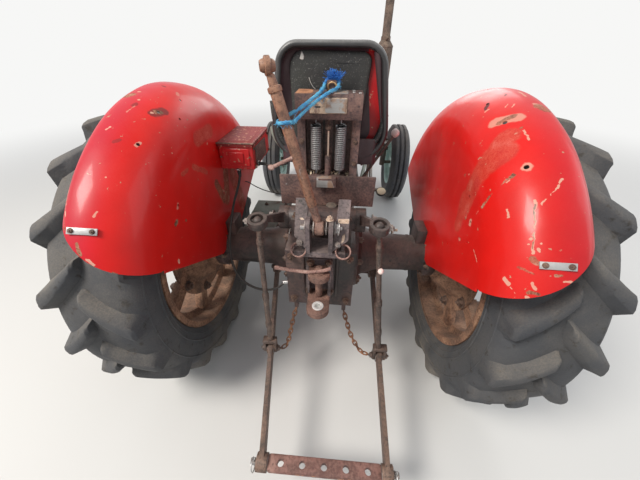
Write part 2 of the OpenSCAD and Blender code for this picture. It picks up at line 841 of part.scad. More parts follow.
// Fuel tank end and dash panel at the rear of the bonnet
dash_l = 90;
module dash() {
    color("#b3151b") {
        translate([0, bonnet_y - dash_l - seat_gap, 0])
            rotate([-90, 0, 0])
                mirror([0, 1, 0])
                    linear_extrude(height = dash_l)
                        hood_outline(bonnet_w, 900, bonnet_top_z - 6, bonnet_corner);
        for (s = [left, right])
            block(s * 95, bonnet_y - 40 - seat_gap, bell_top_z + seat_gap, 16, 40, 112);
    }
}

// Headlamps on brackets beside the nose
lamp_d = 150;
lamp_x = bonnet_w / 2 + 92;
lamp_y = nose_y - 200;
lamp_z = 1010;
module headlamps() {
    color("#9b9c98")
        for (s = [left, right]) {
            translate([s * lamp_x, lamp_y, lamp_z])
                rotate([-90, 0, 0])
                    rotate_extrude()
                        polygon([[0, 0], [24, 0], [52, 22], [lamp_d / 2 - 6, 60],
                            [lamp_d / 2, 66], [lamp_d / 2, 82], [lamp_d / 2 - 6, 84], [0, 94]]);
            rod([s * (bonnet_w / 2 + seat_gap), lamp_y + 40, lamp_z],
                [s * (lamp_x - 40), lamp_y + 40, lamp_z], 22);
        }
}

// Steering box on the clutch housing, and the column up to the wheel
column_foot = [0, drop_arm_y - 10, drop_shaft_z + 20];
column_dir = [0, -sin(column_lean), cos(column_lean)];
column_top = column_foot + column_l * column_dir;
module steering_column() {
    color("#4d4744")
        difference() {
            union() {
                block(0, drop_arm_y - 60, bell_top_z, 150, 120, drop_shaft_z + 60 - bell_top_z);
                drum_x([90, drop_arm_y, drop_shaft_z], 60, 90);
                rod(column_foot, column_top, 44);
            }
            drum_x([100, drop_arm_y, drop_shaft_z], 30 + 2 * fit, 180);
            rod(column_top - 60 * column_dir, column_top + column_dir, 22 + 2 * fit);
        }
}

// Steering wheel with three spokes
module steering_wheel() {
    r = steering_wheel_d / 2 - steering_rim_d / 2;
    color("#1f1f20")
        translate(column_top)
            rotate([column_lean, 0, 0]) {
                translate([0, 0, -50])
                    cylinder(h = 60, d = 22);
                translate([0, 0, seat_gap])
                    cylinder(h = 34, d = 64);
                translate([0, 0, 34])
                    rotate_extrude($fn = 96)
                        translate([r, 0])
                            circle(d = steering_rim_d, $fn = 32);
                for (i = [0 : 2])
                    rotate([0, 0, 90 + i * 120])
                        rod([20, 0, 16], [r, 0, 34], 12);
            }
}

// Exhaust: manifold branch, silencer and the pipe above it
exhaust_x = 300;
exhaust_y = engine_y + 210;
silencer_z = 1100;
silencer_h = 300;
branch_z = 932;
manifold_w = 70;
manifold_l = 460;
manifold_h = 60;
module exhaust() {
    manifold_x = engine_w / 2 - 20 + seat_gap + manifold_w / 2;
    color("#6d4c3b") {
        block(manifold_x, engine_y + 60, branch_z - manifold_h / 2, manifold_w, manifold_l, manifold_h);
        rod([engine_w / 2, exhaust_y, branch_z], [exhaust_x, exhaust_y, branch_z], exhaust_d - 4);
        translate([exhaust_x, exhaust_y, branch_z - exhaust_d])
            cylinder(h = exhaust_top_z - branch_z + exhaust_d, d = exhaust_d);
        translate([exhaust_x, exhaust_y, silencer_z])
            rotate_extrude()
                polygon([[0, 0], [exhaust_d / 2 + 3, 0], [silencer_d / 2, 30],
                    [silencer_d / 2, silencer_h - 30], [exhaust_d / 2 + 3, silencer_h],
                    [0, silencer_h]]);
    }
}

// Clutch pedal on the left and two brake pedals with round pads on the right
pedal_y = gearbox_y + gearbox_l + 40;
module pedals() {
    color("#39383a") {
        for (p = [[left, 215], [right, 240], [right, 325]]) {
            pad = [p[0] * p[1], pedal_y - 145, 612];
            rod(pad, [p[0] * p[1], pedal_y, 560], 18);
            translate(pad)
                rotate([28, 0, 0])
                    cylinder(h = 10, d = 62);
            rod([p[0] * (bell_w / 2 + seat_gap), pedal_y, 560], [p[0] * (p[1] + 9), pedal_y, 560],
                26);
        }
    }
}

// Gear levers on the gearbox and the lift's quadrant lever beside the seat
lever_d = 14;
lift_lever_d = 12;
lift_lever_knob = [262, axle_y + 100, 1106];
quadrant_t = 20;
module levers() {
    foot_z = gearbox_top_z + 33;
    color("#2f2e2e") {
        // Columns: the foot's x, then the knob's x, y, z and diameter
        for (lever = [[-30, -60, gearbox_y + 200, 1020, 40], [40, 80, gearbox_y + 180, 940, 36]]) {
            knob = [lever[1], lever[2], lever[3]];
            rod([lever[0], gearbox_y + 130, foot_z], knob, lever_d);
            translate(knob)
                sphere(d = lever[4]);
        }
        block(lift_cover_w / 2 + seat_gap + quadrant_t / 2, axle_y + 20, 850, quadrant_t, 80, 50);
        rod([lift_cover_w / 2 + 12, axle_y + 60, 880], lift_lever_knob, lift_lever_d);
        translate(lift_lever_knob)
            sphere(d = 30);
    }
}

// Seat shell: pan with low sides, and the tall back, a shallow tray open to the rear
seat_y = axle_y - 60;
seat_low_z = 1045;
module seat_outline(inset) {
    top_r = 70;
    low_r = 105;
    hull()
        for (s = [left, right]) {
            translate([s * (seat_top_w / 2 - top_r), seat_top_z - top_r])
                circle(top_r - inset);
            translate([s * (seat_w / 2 - low_r), seat_low_z + low_r])
                circle(low_r - inset);
        }
}
module seat_shell() {
    color("#2d2c2e")
        translate([seat_x, seat_y, 0]) {
            difference() {
                translate([0, seat_back_d, 0])
                    rotate([90, 0, 0])
                        linear_extrude(height = seat_back_d)
                            seat_outline(0);
                translate([0, seat_back_d - seat_shell_t, 0])
                    rotate([90, 0, 0])
                        linear_extrude(height = seat_back_d)
                            seat_outline(seat_shell_t);
            }
            block(0, 0, seat_pan_z, seat_w - 60, seat_pan_l, seat_shell_t);
            translate([6 - (seat_w - 60) / 2, 60, seat_pan_z - 12])
                cylinder(h = 13, d = 14);
            for (s = [left, right])
                block(s * (seat_w / 2 - 37), 0, seat_pan_z, seat_shell_t, seat_pan_l - 40, 90);
        }
}

// Seat cushion in the pan, and the pad on the front of the back
module seat_pad() {
    back_t = 30;
    color("#232224")
        translate([seat_x, seat_y + seat_back_d + seat_gap, 0]) {
            block(0, back_t + seat_gap, seat_pan_z + seat_shell_t + seat_gap, seat_w - 100,
                seat_pan_l - seat_back_d - back_t - 10, 60);
            translate([0, back_t, 0])
                rotate([90, 0, 0])
                    linear_extrude(height = back_t)
                        difference() {
                            seat_outline(8);
                            translate([-seat_w / 2, 0])
                                square([seat_w, seat_low_z + 90]);
                        }
        }
}

// Suspension frame behind the seat: two posts, a channel across them and the cross plate
frame_y = seat_y - 58;
frame_bottom_z = lift_cover_top_z + seat_gap;
post_w = 26;
post_d = 44;
channel_h = 70;
channel_rear = 26;
cross_w = 336;
cross_t = 11;
cross_h = 115;
tab_w = 28;
tab_h = 30;
module seat_frame() {
    color("#6f564c")
        translate([seat_x, 0, 0]) {
            for (s = [left, right])
                block(s * (seat_frame_w / 2 - post_w / 2), frame_y, frame_bottom_z, post_w, post_d,
                    frame_top_z - frame_bottom_z);
            block(0, frame_y - channel_rear, frame_top_z - channel_h, seat_frame_w,
                seat_y - frame_y + channel_rear - seat_gap, channel_h);
            block(0, frame_y - cross_t, frame_bottom_z + 3, cross_w, cross_t, cross_h - 3);
            block(0, frame_y - 1, frame_bottom_z, seat_frame_w, 21, 60);
            block(0, frame_y + post_d - 8, frame_bottom_z, seat_frame_w, 8, 330);
            block(0, frame_y - cross_t - 20, frame_bottom_z + cross_h - 34, 60, 21, 34);
            block(0, frame_y - 6, frame_bottom_z + cross_h - 8, 120, 40, 8);
            block(6, frame_y + 14, frame_top_z - 1, tab_w, 6, tab_h + 1);
        }
}

// Two coil springs and the damper between them
module seat_springs() {
    spring_y = frame_y + 6;
    foot_z = frame_bottom_z + cross_h + seat_gap;
    hook_h = frame_top_z - channel_h - seat_gap - foot_z;
    spring_l = hook_h - 42;
    color("#77787a")
        translate([seat_x, spring_y, foot_z]) {
            for (s = [left, right])
                translate([s * seat_spring_x, 0, 0]) {
                    cylinder(h = hook_h, d = 7);
                    translate([0, 0, 20])
                        cylinder(h = spring_l, d = seat_spring_d);
                }
            cylinder(h = 70, d = 22);
            cylinder(h = hook_h, d = 8);
        }
}

// Bracket behind the housing: two bars with their rings, and the ears that hold the top link
top_pin_y = axle_y - 315;
top_pin_z = 925;
top_pin_d = 19;
ear_x = 36;
bar_w = 40;
bar_x = 66;
bar_top = [0, axle_y - 262, 960];
bar_foot = [0, axle_y - 340, 846];
bar_l = norm(bar_foot - bar_top);
bar_a = atan2(bar_foot[2] - bar_top[2], bar_foot[1] - bar_top[1]);
module hitch_bracket() {
    color("#6a5750") {
        for (s = [left, right]) {
            translate([s * bar_x, bar_top[1], bar_top[2]])
                rotate([bar_a, 0, 0])
                    translate([-bar_w / 2, 0, -6])
                        cube([bar_w, bar_l, 12]);
            translate([s * (bar_x + 7), axle_y - 338, 856])
                rotate([-35, 0, 0])
                    difference() {
                        cylinder(h = 12, d = 52, center = true);
                        cylinder(h = 14, d = 36, center = true);
                    }
        }
        block(0, axle_y - 338, 822, 170, 338 - lift_cover_rear - seat_gap, 26);
        difference() {
            for (s = [left, right])
                block(s * ear_x, top_pin_y - 26, 830, 14, 60, 125);
            drum_x([0, top_pin_y, top_pin_z], top_pin_d + 2 * fit, 200);
        }
    }
}

// Hitch clevis on the housing's rear face, and the tongue with its bore
tongue_z = 640;
jaw_z = 735;
hitch_pin_d = 26;
hitch_pin_y = axle_y - 335;
tongue_bore_y = axle_y - 385;
module hitch_clevis() {
    color("#7a5244")
        difference() {
            union() {
                block(0, axle_y - centre_rear - 20 - seat_gap, 610, 110, 20, 175);
                block(0, hitch_pin_y, jaw_z, 76, 55, 22);
                translate([0, hitch_pin_y, jaw_z])
                    cylinder(h = 22, d = 76);
                block(0, tongue_bore_y, tongue_z - 22, 80, 100, 22);
                translate([0, tongue_bore_y, tongue_z - 22])
                    cylinder(h = 22, d = 80);
            }
            translate([0, hitch_pin_y, jaw_z - 1])
                cylinder(h = 24, d = hitch_pin_d + 2 * fit);
            translate([0, tongue_bore_y, tongue_z - 30])
                cylinder(h = 60, d = hitch_bore);
        }
}

// Pin of the clevis with its long handle
module hitch_pin() {
    color("#7b5547") {
        translate([0, hitch_pin_y, tongue_z + seat_gap])
            cylinder(h = jaw_z + 50 - tongue_z, d = hitch_pin_d);
        rod([0, hitch_pin_y, jaw_z + 40], [-150, hitch_pin_y + 10, jaw_z + 46], 13);
    }
}

// Top link stowed upright against the seat's frame
top_link_foot = [0, top_pin_y, top_pin_z];
top_link_lean_x = -17;
top_link_lean_y = 6;
top_link_dir = [sin(top_link_lean_x), sin(top_link_lean_y),
    sqrt(1 - pow(sin(top_link_lean_x), 2) - pow(sin(top_link_lean_y), 2))];
module top_link() {
    head = top_link_foot + top_link_l * top_link_dir;
    grip = top_link_foot + 0.52 * top_link_l * top_link_dir;
    color("#8a6350") {
        difference() {
            union() {
                rod(top_link_foot + 20 * top_link_dir, head - 30 * top_link_dir, 30);
                drum_x(top_link_foot, 50, 34);
                rod(head - 60 * top_link_dir, head, 20);
                translate(head)
                    rotate([90, 0, 20])
                        cylinder(h = 34, d = 46, center = true);
            }
            drum_x(top_link_foot, top_pin_d + 2 * fit, 60);
            translate(head)
                rotate([90, 0, 20])
                    cylinder(h = 60, d = top_link_bore, center = true);
        }
        drum_x(top_link_foot, top_pin_d, 120);
        rod(grip, grip + [-68, -6, -16], 13);
    }
}

// Lift arms on the lift shaft, each with a ring at its end and a pin across the ring
lift_arm_in = lift_cover_w / 2 + 12 + seat_gap;
lift_eye_x = 170;
lift_eye = [lift_eye_x, lift_shaft_y - lift_arm_l * cos(lift_arm_a),
    lift_shaft_z + lift_arm_l * sin(lift_arm_a)];
lift_pin_d = 12;
lift_ring_h = 24;
lift_ring_tilt = 11;
lift_hub_d = 86;
lift_bar_t = 20;

// One arm's tapering bar from p to the ring at q, lifted at the ring to clear the lift rod
module lift_arm_bar(p, q) {
    v = q - p;
    l = norm(v) - lift_ring_d / 2 + 3;
    translate(p)
        rotate([atan2(v[2], v[1]), 0, 0])
            rotate([0, 0, -atan2(v[0], norm([v[1], v[2]]))])
                translate([-lift_bar_t / 2, 0, 0])
                    rotate([90, 0, 90])
                        linear_extrude(height = lift_bar_t)
                            polygon([[0, 20], [l, 4], [l, -14], [0, -20]]);
}
module lift_arms() {
    root_x = lift_arm_in + 18;
    color("#3f3330") {
        for (s = [left, right]) {
            eye = [s * lift_eye[0], lift_eye[1], lift_eye[2]];
            root = [s * root_x, lift_shaft_y, lift_shaft_z];
            drum_x(root, lift_hub_d, 36);
            lift_arm_bar(root, eye);
            translate(eye)
                rotate([lift_ring_tilt, 0, 0])
                    difference() {
                        cylinder(h = lift_ring_h, d = lift_ring_d, center = true);
                        cylinder(h = lift_ring_h + 2, d = lift_ring_hole, center = true);
                    }
            drum_x(eye, lift_pin_d, lift_ring_d - 8);
        }
        drum_x([0, lift_shaft_y, lift_shaft_z], lift_shaft_d, 2 * lift_arm_in + 8);
    }
}

// Lift rods from the pins in the lift arms' rings down to forks over the lower links' bosses
lift_low_y = axle_y - 372;
boss_w = 26;
fork_gap = 2;
fork_t = 10;
fork_h = 50;
function link_end_x(s) = s < 0 ? -link_left_x : link_right_x;
link_f = (link_pin_y - lift_low_y) / (link_pin_y - axle_y + link_reach);
function link_boss(s) = [s * link_pin_x + (link_end_x(s) - s * link_pin_x) * link_f, lift_low_y,
    link_pin_z + (link_end_z - link_pin_z) * link_f];
module lift_rods() {
    fork_x = boss_w / 2 + fork_gap + fork_t / 2;
    color("#5a4037")
        for (s = [left, right]) {
            top = [s * lift_eye[0], lift_eye[1], lift_eye[2]];
            low = link_boss(s);
            bridge = low + [0, 0, fork_h];
            neck = top + (bridge - top) * 34 / norm(bridge - top);
            difference() {
                union() {
                    drum_x(top, 28, 18);
                    rod(top, neck, 15);
                    rod(neck, bridge, lift_rod_d);
                    block(bridge[0], bridge[1] - 15, bridge[2] - 7, 2 * fork_x + fork_t, 30, 14);
                    for (f = [-1, 1]) {
                        block(low[0] + f * fork_x, low[1] - 15, low[2], fork_t, 30, fork_h);
                        drum_x(low + [f * fork_x, 0, 0], 34, fork_t);
                    }
                }
                drum_x(top, lift_pin_d + 2 * fit, 60);
            }
        }
}

// Lower links, the drawbar between their ends and its two stub pins
module lower_links() {
    color("#6e4e42")
        for (s = [left, right]) {
            front = [s * link_pin_x, link_pin_y, link_pin_z];
            rear = [link_end_x(s), axle_y - link_reach, link_end_z];
            difference() {
                union() {
                    bar_yz(front, rear, 52, link_t);
                    drum_x(front, 62, 34);
                    drum_x(rear, 2 * link_eye_r, 36);
                    drum_x(link_boss(s), 50, boss_w);
                }
                drum_x(front, link_ball_bore + 2 * fit, 60);
                drum_x(rear, link_ball_bore, 60);
            }
        }
}

// Drawbar between the lower links' balls: a flat bar with upright holes and two stub pins
module drawbar() {
    mid_x = (link_right_x - link_left_x) / 2;
    l = link_right_x + link_left_x - 36 - 2 * seat_gap;
    y = axle_y - link_reach;
    color("#8a6558")
        difference() {
            union() {
                block(mid_x, y - drawbar_w / 2, link_end_z - drawbar_t / 2, l, drawbar_w, drawbar_t);
                drum_x([mid_x, y, link_end_z], link_ball_bore - 2 * fit, l + 110);
            }
            for (i = [-2 : 2])
                translate([mid_x + i * drawbar_pitch, y, link_end_z - drawbar_t])
                    cylinder(h = 2 * drawbar_t, d = drawbar_hole_d);
        }
}

// Check chains, each sagging from a lug under the housing to its lower link; points from
// the rear axle's place, for the left chain and the right one
chain_d = 13;
chain_points = [
    [[-97, -265, 490], [-110, -290, 450], [-122, -316, 390], [-132, -332, 340],
        [-145, -346, 314], [-163, -356, 318]],
    [[97, -265, 490], [112, -290, 450], [134, -316, 392], [162, -336, 344],
        [190, -350, 316], [216, -356, 318]]];
module check_chains() {
    color("#7c4a2e")
        translate([0, axle_y, 0])
            for (points = chain_points)
                for (i = [0 : len(points) - 2]) {
                    rod(points[i], points[i + 1], chain_d, $fn = 12);
                    translate(points[i + 1])
                        sphere(d = chain_d, $fn = 12);
                }
}

// Lamp box on the left fender's inner plate, with its lid and the two cables' glands
lamp_box_w = 144;
lamp_box_l = 256;
lamp_box_h = 112;
lamp_box_y = 48;
lamp_box_z = 955;
module lamp_box() {
    x = -fender_inner_x + seat_gap + lamp_box_w / 2;
    color("#a8151d") {
        block(x, axle_y + lamp_box_y, lamp_box_z, lamp_box_w, lamp_box_l, lamp_box_h);
        block(x + 2, axle_y + lamp_box_y - 3, lamp_box_z + lamp_box_h - 4, lamp_box_w + 4,
            lamp_box_l + 6, 8);
        translate([-373, axle_y + 60, lamp_box_z - 14])
            cylinder(h = 15, d = 18);
        drum_x([x + lamp_box_w / 2 + 4, axle_y + 100, 966], 14, 12);
    }
}

// Cords, each a tube along a route of points from the rear axle's place
cord_sides = 8;
lamp_cable_d = 10;
lamp_cable_route = [
    [-373, 60, 940], [-374, 59, 922], [-379, 52, 896], [-389, 36, 862], [-400, 10, 822],
    [-407, -22, 778], [-411, -58, 731], [-410, -95, 685], [-402, -130, 641], [-387, -160, 602],
    [-365, -182, 570], [-337, -196, 545], [-306, -203, 527], [-273, -206, 516], [-240, -205, 512],
    [-208, -202, 516], [-182, -197, 529], [-165, -192, 545], [-153, -190, 552], [-143, -190, 553]];
seat_cable_d = 8;
seat_cable_route = [
    [-287, 100, 966], [-277, 99, 965], [-262, 94, 964], [-244, 84, 965], [-224, 70, 970],
    [-204, 54, 978], [-186, 38, 988], [-169, 22, 996], [-157, 9, 1004], [-150, 1, 1013],
    [-150, 0, 1023]];
wire_d = 5;
wire_route = [
    [-441, 290, 793], [-428, 291, 790], [-402, 297, 770], [-374, 303, 751], [-342, 309, 735],
    [-308, 315, 722], [-274, 320, 714], [-240, 324, 709], [-206, 327, 707], [-174, 329, 709],
    [-148, 330, 714], [-133, 330, 716]];
twine_d = 6;
twine_route = [
    [24, -90, 1323], [33, -91, 1312], [38, -94, 1299], [38, -103, 1289], [33, -117, 1282],
    [20, -138, 1279], [2, -160, 1271], [-24, -190, 1257], [-48, -222, 1241], [-71, -279, 1224],
    [-74, -292, 1227], [-84, -301, 1228], [-98, -301, 1226], [-109, -294, 1224],
    [-113, -281, 1224], [-109, -269, 1226], [-99, -261, 1231], [-88, -262, 1238],
    [-66, -244, 1246], [-48, -214, 1256], [-30, -184, 1266], [-16, -158, 1275],
    [-10, -138, 1279], [-5, -116, 1284], [-4, -102, 1291], [4, -92, 1302], [12, -90, 1316]];

// Tube with a ring of points at each point of its route, square to the way the route runs
module cord(route, d) {
    n = len(route);
    function way(i) =
        let (v = route[min(i + 1, n - 1)] - route[max(i - 1, 0)]) v / norm(v);
    function side(i) =
        let (w = way(i), u = i == 0 ? [0.3, 0.9, 0.3] : side(i - 1), v = u - (u * w) * w) v / norm(v);
    rings = [for (i = [0 : n - 1]) let (a = side(i), b = cross(way(i), a))
        for (j = [0 : cord_sides - 1])
            route[i] + d / 2 * (cos(j * 360 / cord_sides) * a + sin(j * 360 / cord_sides) * b)];
    walls = [for (i = [0 : n - 2], j = [0 : cord_sides - 1])
        let (k = (j + 1) % cord_sides)
            [i * cord_sides + j, (i + 1) * cord_sides + j, (i + 1) * cord_sides + k, i * cord_sides + k]];
    ends = [[for (j = [0 : cord_sides - 1]) j],
        [for (j = [cord_sides - 1 : -1 : 0]) (n - 1) * cord_sides + j]];
    translate([0, axle_y, 0])
        polyhedron(points = rings, faces = concat(walls, ends));
}

centre_housing();
axle_trumpets();
transmission();
engine();
front_support();
front_axle_beam();
radius_rods();
knuckle(left);  // knuckle_left
knuckle(right);  // knuckle_right
tie_rod();
drag_link();
drop_arm();
front_rim(left);  // front_rim_left
front_rim(right);  // front_rim_right
front_tyre(left);  // front_tyre_left
front_tyre(right);  // front_tyre_right
rear_rim(left);  // rear_rim_left
rear_rim(right);  // rear_rim_right
rear_tyre(left);  // rear_tyre_left
rear_tyre(right);  // rear_tyre_right
fender(left);  // fender_left
fender(right);  // fender_right
footplate();
bonnet();
nose();
radiator();
dash();
headlamps();
steering_column();
steering_wheel();
exhaust();
pedals();
levers();
seat_shell();
seat_pad();
seat_frame();
seat_springs();
hitch_bracket();
hitch_clevis();
hitch_pin();
top_link();
lift_arms();
lift_rods();
lower_links();
drawbar();
check_chains();
lamp_box();
cord(lamp_cable_route, lamp_cable_d);  // cable_lamp
cord(seat_cable_route, seat_cable_d);  // cable_seat
cord(wire_route, wire_d);  // wire
cord(twine_route, twine_d);  // twine
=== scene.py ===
"""Small vintage farm tractor: the look of every piece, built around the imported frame.

Everything is in metres. Y points to the tractor's front, Z up and X to its right.
Places come from the frame's joints and boxes, so that pieces sit on what carries them.
"""
import json
import random
from math import cos, pi, radians, sin, sqrt, tau

import bmesh
import bpy
from mathutils import Matrix, Vector

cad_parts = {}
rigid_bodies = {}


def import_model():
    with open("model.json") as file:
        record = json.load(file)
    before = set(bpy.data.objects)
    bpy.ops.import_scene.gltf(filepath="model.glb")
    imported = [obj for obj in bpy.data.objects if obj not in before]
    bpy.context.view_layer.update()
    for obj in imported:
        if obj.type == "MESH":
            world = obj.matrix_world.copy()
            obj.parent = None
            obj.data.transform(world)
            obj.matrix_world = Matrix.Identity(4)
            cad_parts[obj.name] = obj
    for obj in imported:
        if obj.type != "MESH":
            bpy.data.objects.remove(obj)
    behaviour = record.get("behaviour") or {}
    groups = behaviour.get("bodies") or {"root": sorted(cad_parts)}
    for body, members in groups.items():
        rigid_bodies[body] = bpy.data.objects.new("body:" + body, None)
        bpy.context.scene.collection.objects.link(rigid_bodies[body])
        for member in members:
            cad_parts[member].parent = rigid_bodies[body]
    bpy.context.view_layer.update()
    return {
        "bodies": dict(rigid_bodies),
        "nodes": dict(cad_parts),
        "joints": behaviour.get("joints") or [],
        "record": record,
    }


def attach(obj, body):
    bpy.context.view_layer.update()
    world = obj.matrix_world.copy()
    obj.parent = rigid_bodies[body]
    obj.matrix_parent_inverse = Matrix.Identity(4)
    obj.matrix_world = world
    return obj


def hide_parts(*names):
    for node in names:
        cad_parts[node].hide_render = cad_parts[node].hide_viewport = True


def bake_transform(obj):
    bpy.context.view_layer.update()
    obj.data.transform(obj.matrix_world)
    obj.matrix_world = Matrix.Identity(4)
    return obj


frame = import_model()
scene = bpy.context.scene
nodes = frame["nodes"]
joints = {j["name"]: j for j in frame["joints"]}

LEFT, RIGHT = -1, 1
SIDES = ((LEFT, "left"), (RIGHT, "right"))
X, Y, Z = Vector((1, 0, 0)), Vector((0, 1, 0)), Vector((0, 0, 1))


def joint_place(name):
    """Where a joint of the frame sits."""
    return Vector(joints[name]["pos_m"])


REAR_AXLE = joint_place("rear_wheel_left_spin") * Vector((0, 1, 1))
FRONT_AXLE = joint_place("front_wheel_left_spin") * Vector((0, 1, 1))


def at(x, y, z):
    """A point given across, along from the rear axle and up from the ground, in millimetres."""
    return Vector((x / 1000, REAR_AXLE.y + y / 1000, z / 1000))


def at_each(points):
    return [at(*p) for p in points]


def upright(y, points):
    """Points (x, z) of a plane that stands across the tractor."""
    return [at(x, y, z) for x, z in points]


def level(z, points):
    """Points (x, y) of a level plane."""
    return [at(x, y, z) for x, y in points]


def mm(*profile):
    """A profile given in millimetres."""
    return [(along / 1000, radius / 1000) for along, radius in profile]


# Camera: a wide lens close behind the seat, looking down and a little to the left
CAMERA_PLACE = (0.053, REAR_AXLE.y - 1.019, 1.395)
CAMERA_DOWN = radians(36.236)
CAMERA_YAW = radians(-4.17)
CAMERA_ROLL = radians(0.388)
FOCAL_PIXELS = 272.3
PHOTO_WIDTH = 640
SENSOR_WIDTH = 36


def set_camera():
    forward = Vector((sin(CAMERA_YAW) * cos(CAMERA_DOWN), cos(CAMERA_YAW) * cos(CAMERA_DOWN),
        -sin(CAMERA_DOWN)))
    level = Vector((cos(CAMERA_YAW), -sin(CAMERA_YAW), 0))
    across = Matrix.Rotation(-CAMERA_ROLL, 3, forward) @ level
    turn = Matrix((across, across.cross(forward), -forward)).transposed()
    data = bpy.data.cameras.new("camera")
    data.sensor_width = SENSOR_WIDTH
    data.lens = FOCAL_PIXELS * SENSOR_WIDTH / PHOTO_WIDTH
    data.clip_start = 0.02
    camera = bpy.data.objects.new("camera", data)
    camera.matrix_world = Matrix.Translation(CAMERA_PLACE) @ turn.to_4x4()
    scene.collection.objects.link(camera)
    scene.camera = camera


set_camera()


# Shader nodes
class Tree:
    """Short calls that add nodes to a material or a node group and link them."""

    def __init__(self, tree):
        self.tree = tree

    def node(self, kind, inputs=None, **settings):
        made = self.tree.nodes.new("ShaderNode" + kind)
        for key, value in settings.items():
            setattr(made, key, value)
        for key, value in (inputs or {}).items():
            self.feed(made.inputs[key], value)
        return made

    def feed(self, socket, value):
        if isinstance(value, bpy.types.NodeSocket):
            self.tree.links.new(value, socket)
        elif socket.type == "RGBA" and len(value) == 3:
            socket.default_value = (*value, 1)
        else:
            socket.default_value = value

    def math(self, operation, a, b=None, clamp=False):
        made = self.node("Math", operation=operation, use_clamp=clamp)
        self.feed(made.inputs[0], a)
        if b is not None:
            self.feed(made.inputs[1], b)
        return made.outputs[0]

    def vector(self, operation, a, b=None, out="Vector"):
        made = self.node("VectorMath", operation=operation)
        self.feed(made.inputs[0], a)
        if b is not None:
            self.feed(made.inputs["Scale" if operation == "SCALE" else 1], b)
        return made.outputs[out]

    def mix(self, mask, a, b, how="MIX"):
        made = self.node("Mix", data_type="RGBA", blend_type=how)
        for index, value in ((0, mask), (6, a), (7, b)):
            self.feed(made.inputs[index], value)
        return made.outputs[2]

    def blend(self, mask, a, b):
        """Number a where the mask is 0 and b where it is 1."""
        made = self.node("Mix", data_type="FLOAT")
        for index, value in ((0, mask), (2, a), (3, b)):
            self.feed(made.inputs[index], value)
        return made.outputs[0]

    def step(self, value, low, high, start=0.0, end=1.0):
        made = self.node("MapRange", interpolation_type="SMOOTHSTEP")
        for index, number in enumerate((value, low, high, start, end)):
            self.feed(made.inputs[index], number)
        return made.outputs[0]

    def noise(self, vector, scale, detail=4.0, rough=0.55, warp=0.0):
        made = self.node("TexNoise", {"Vector": vector, "Scale": scale, "Detail": detail,
                                      "Roughness": rough, "Distortion": warp})
        return made.outputs[0]

    def use(self, group, **inputs):
        """A node group placed here, its inputs given by name with _ for a space."""
        made = self.node("Group", node_tree=group)
        for key, value in inputs.items():
            self.feed(made.inputs[key.replace("_", " ")], value)
        return made.outputs


KINDS = {"colour": "NodeSocketColor", "number": "NodeSocketFloat", "vector": "NodeSocketVector"}


def new_group(name, inputs, outputs):
    """An empty node group: its tree, its input sockets by name, and its output node."""
    tree = bpy.data.node_groups.new(name, "ShaderNodeTree")
    for way, sockets in (("INPUT", inputs), ("OUTPUT", outputs)):
        for socket_name, kind, *default in sockets:
            socket = tree.interface.new_socket(socket_name, in_out=way, socket_type=KINDS[kind])
            if default:
                value = default[0]
                socket.default_value = (*value, 1) if kind == "colour" else value
    source = tree.nodes.new("NodeGroupInput")
    sink = tree.nodes.new("NodeGroupOutput")
    return Tree(tree), source.outputs, sink.inputs


def make_patches():
    """Ragged patches: Mask is 1 on about Amount of the surface."""
    t, given, out = new_group(
        "ragged_patches",
        [("Vector", "vector"), ("Scale", "number", 8.0), ("Amount", "number", 0.3),
         ("Softness", "number", 0.03), ("Detail", "number", 6.0)],
        [("Mask", "number")])
    cloud = t.noise(given["Vector"], given["Scale"], given["Detail"], 0.62, 0.3)
    limit = t.math("SUBTRACT", 0.72, t.math("MULTIPLY", given["Amount"], 0.44))
    t.feed(out["Mask"], t.step(cloud, t.math("SUBTRACT", limit, given["Softness"]),
                               t.math("ADD", limit, given["Softness"])))
    return t.tree


def make_mark():
    """A worn spot or a scratch: 1 within Radius of the line From-To, joined to Mask before it."""
    t, given, out = new_group(
        "mark",
        [("Vector", "vector"), ("From", "vector"), ("To", "vector"), ("Radius", "number", 0.01),
         ("Softness", "number", 0.3), ("Strength", "number", 1.0), ("Mask", "number", 0.0)],
        [("Mask", "number")])
    away = t.vector("SUBTRACT", given["Vector"], given["From"])
    line = t.vector("SUBTRACT", given["To"], given["From"])
    square = t.math("ADD", t.vector("DOT_PRODUCT", line, line, "Value"), 1e-9)
    part = t.math("DIVIDE", t.vector("DOT_PRODUCT", away, line, "Value"), square, clamp=True)
    reach = t.vector("LENGTH", t.vector("SUBTRACT", away, t.vector("SCALE", line, part)), out="Value")
    inner = t.math("MULTIPLY", given["Radius"], t.math("SUBTRACT", 1.0, given["Softness"]))
    shape = t.step(reach, inner, given["Radius"], 1.0, 0.0)
    t.feed(out["Mask"], t.math("MAXIMUM", given["Mask"],
                               t.math("MULTIPLY", shape, given["Strength"])))
    return t.tree


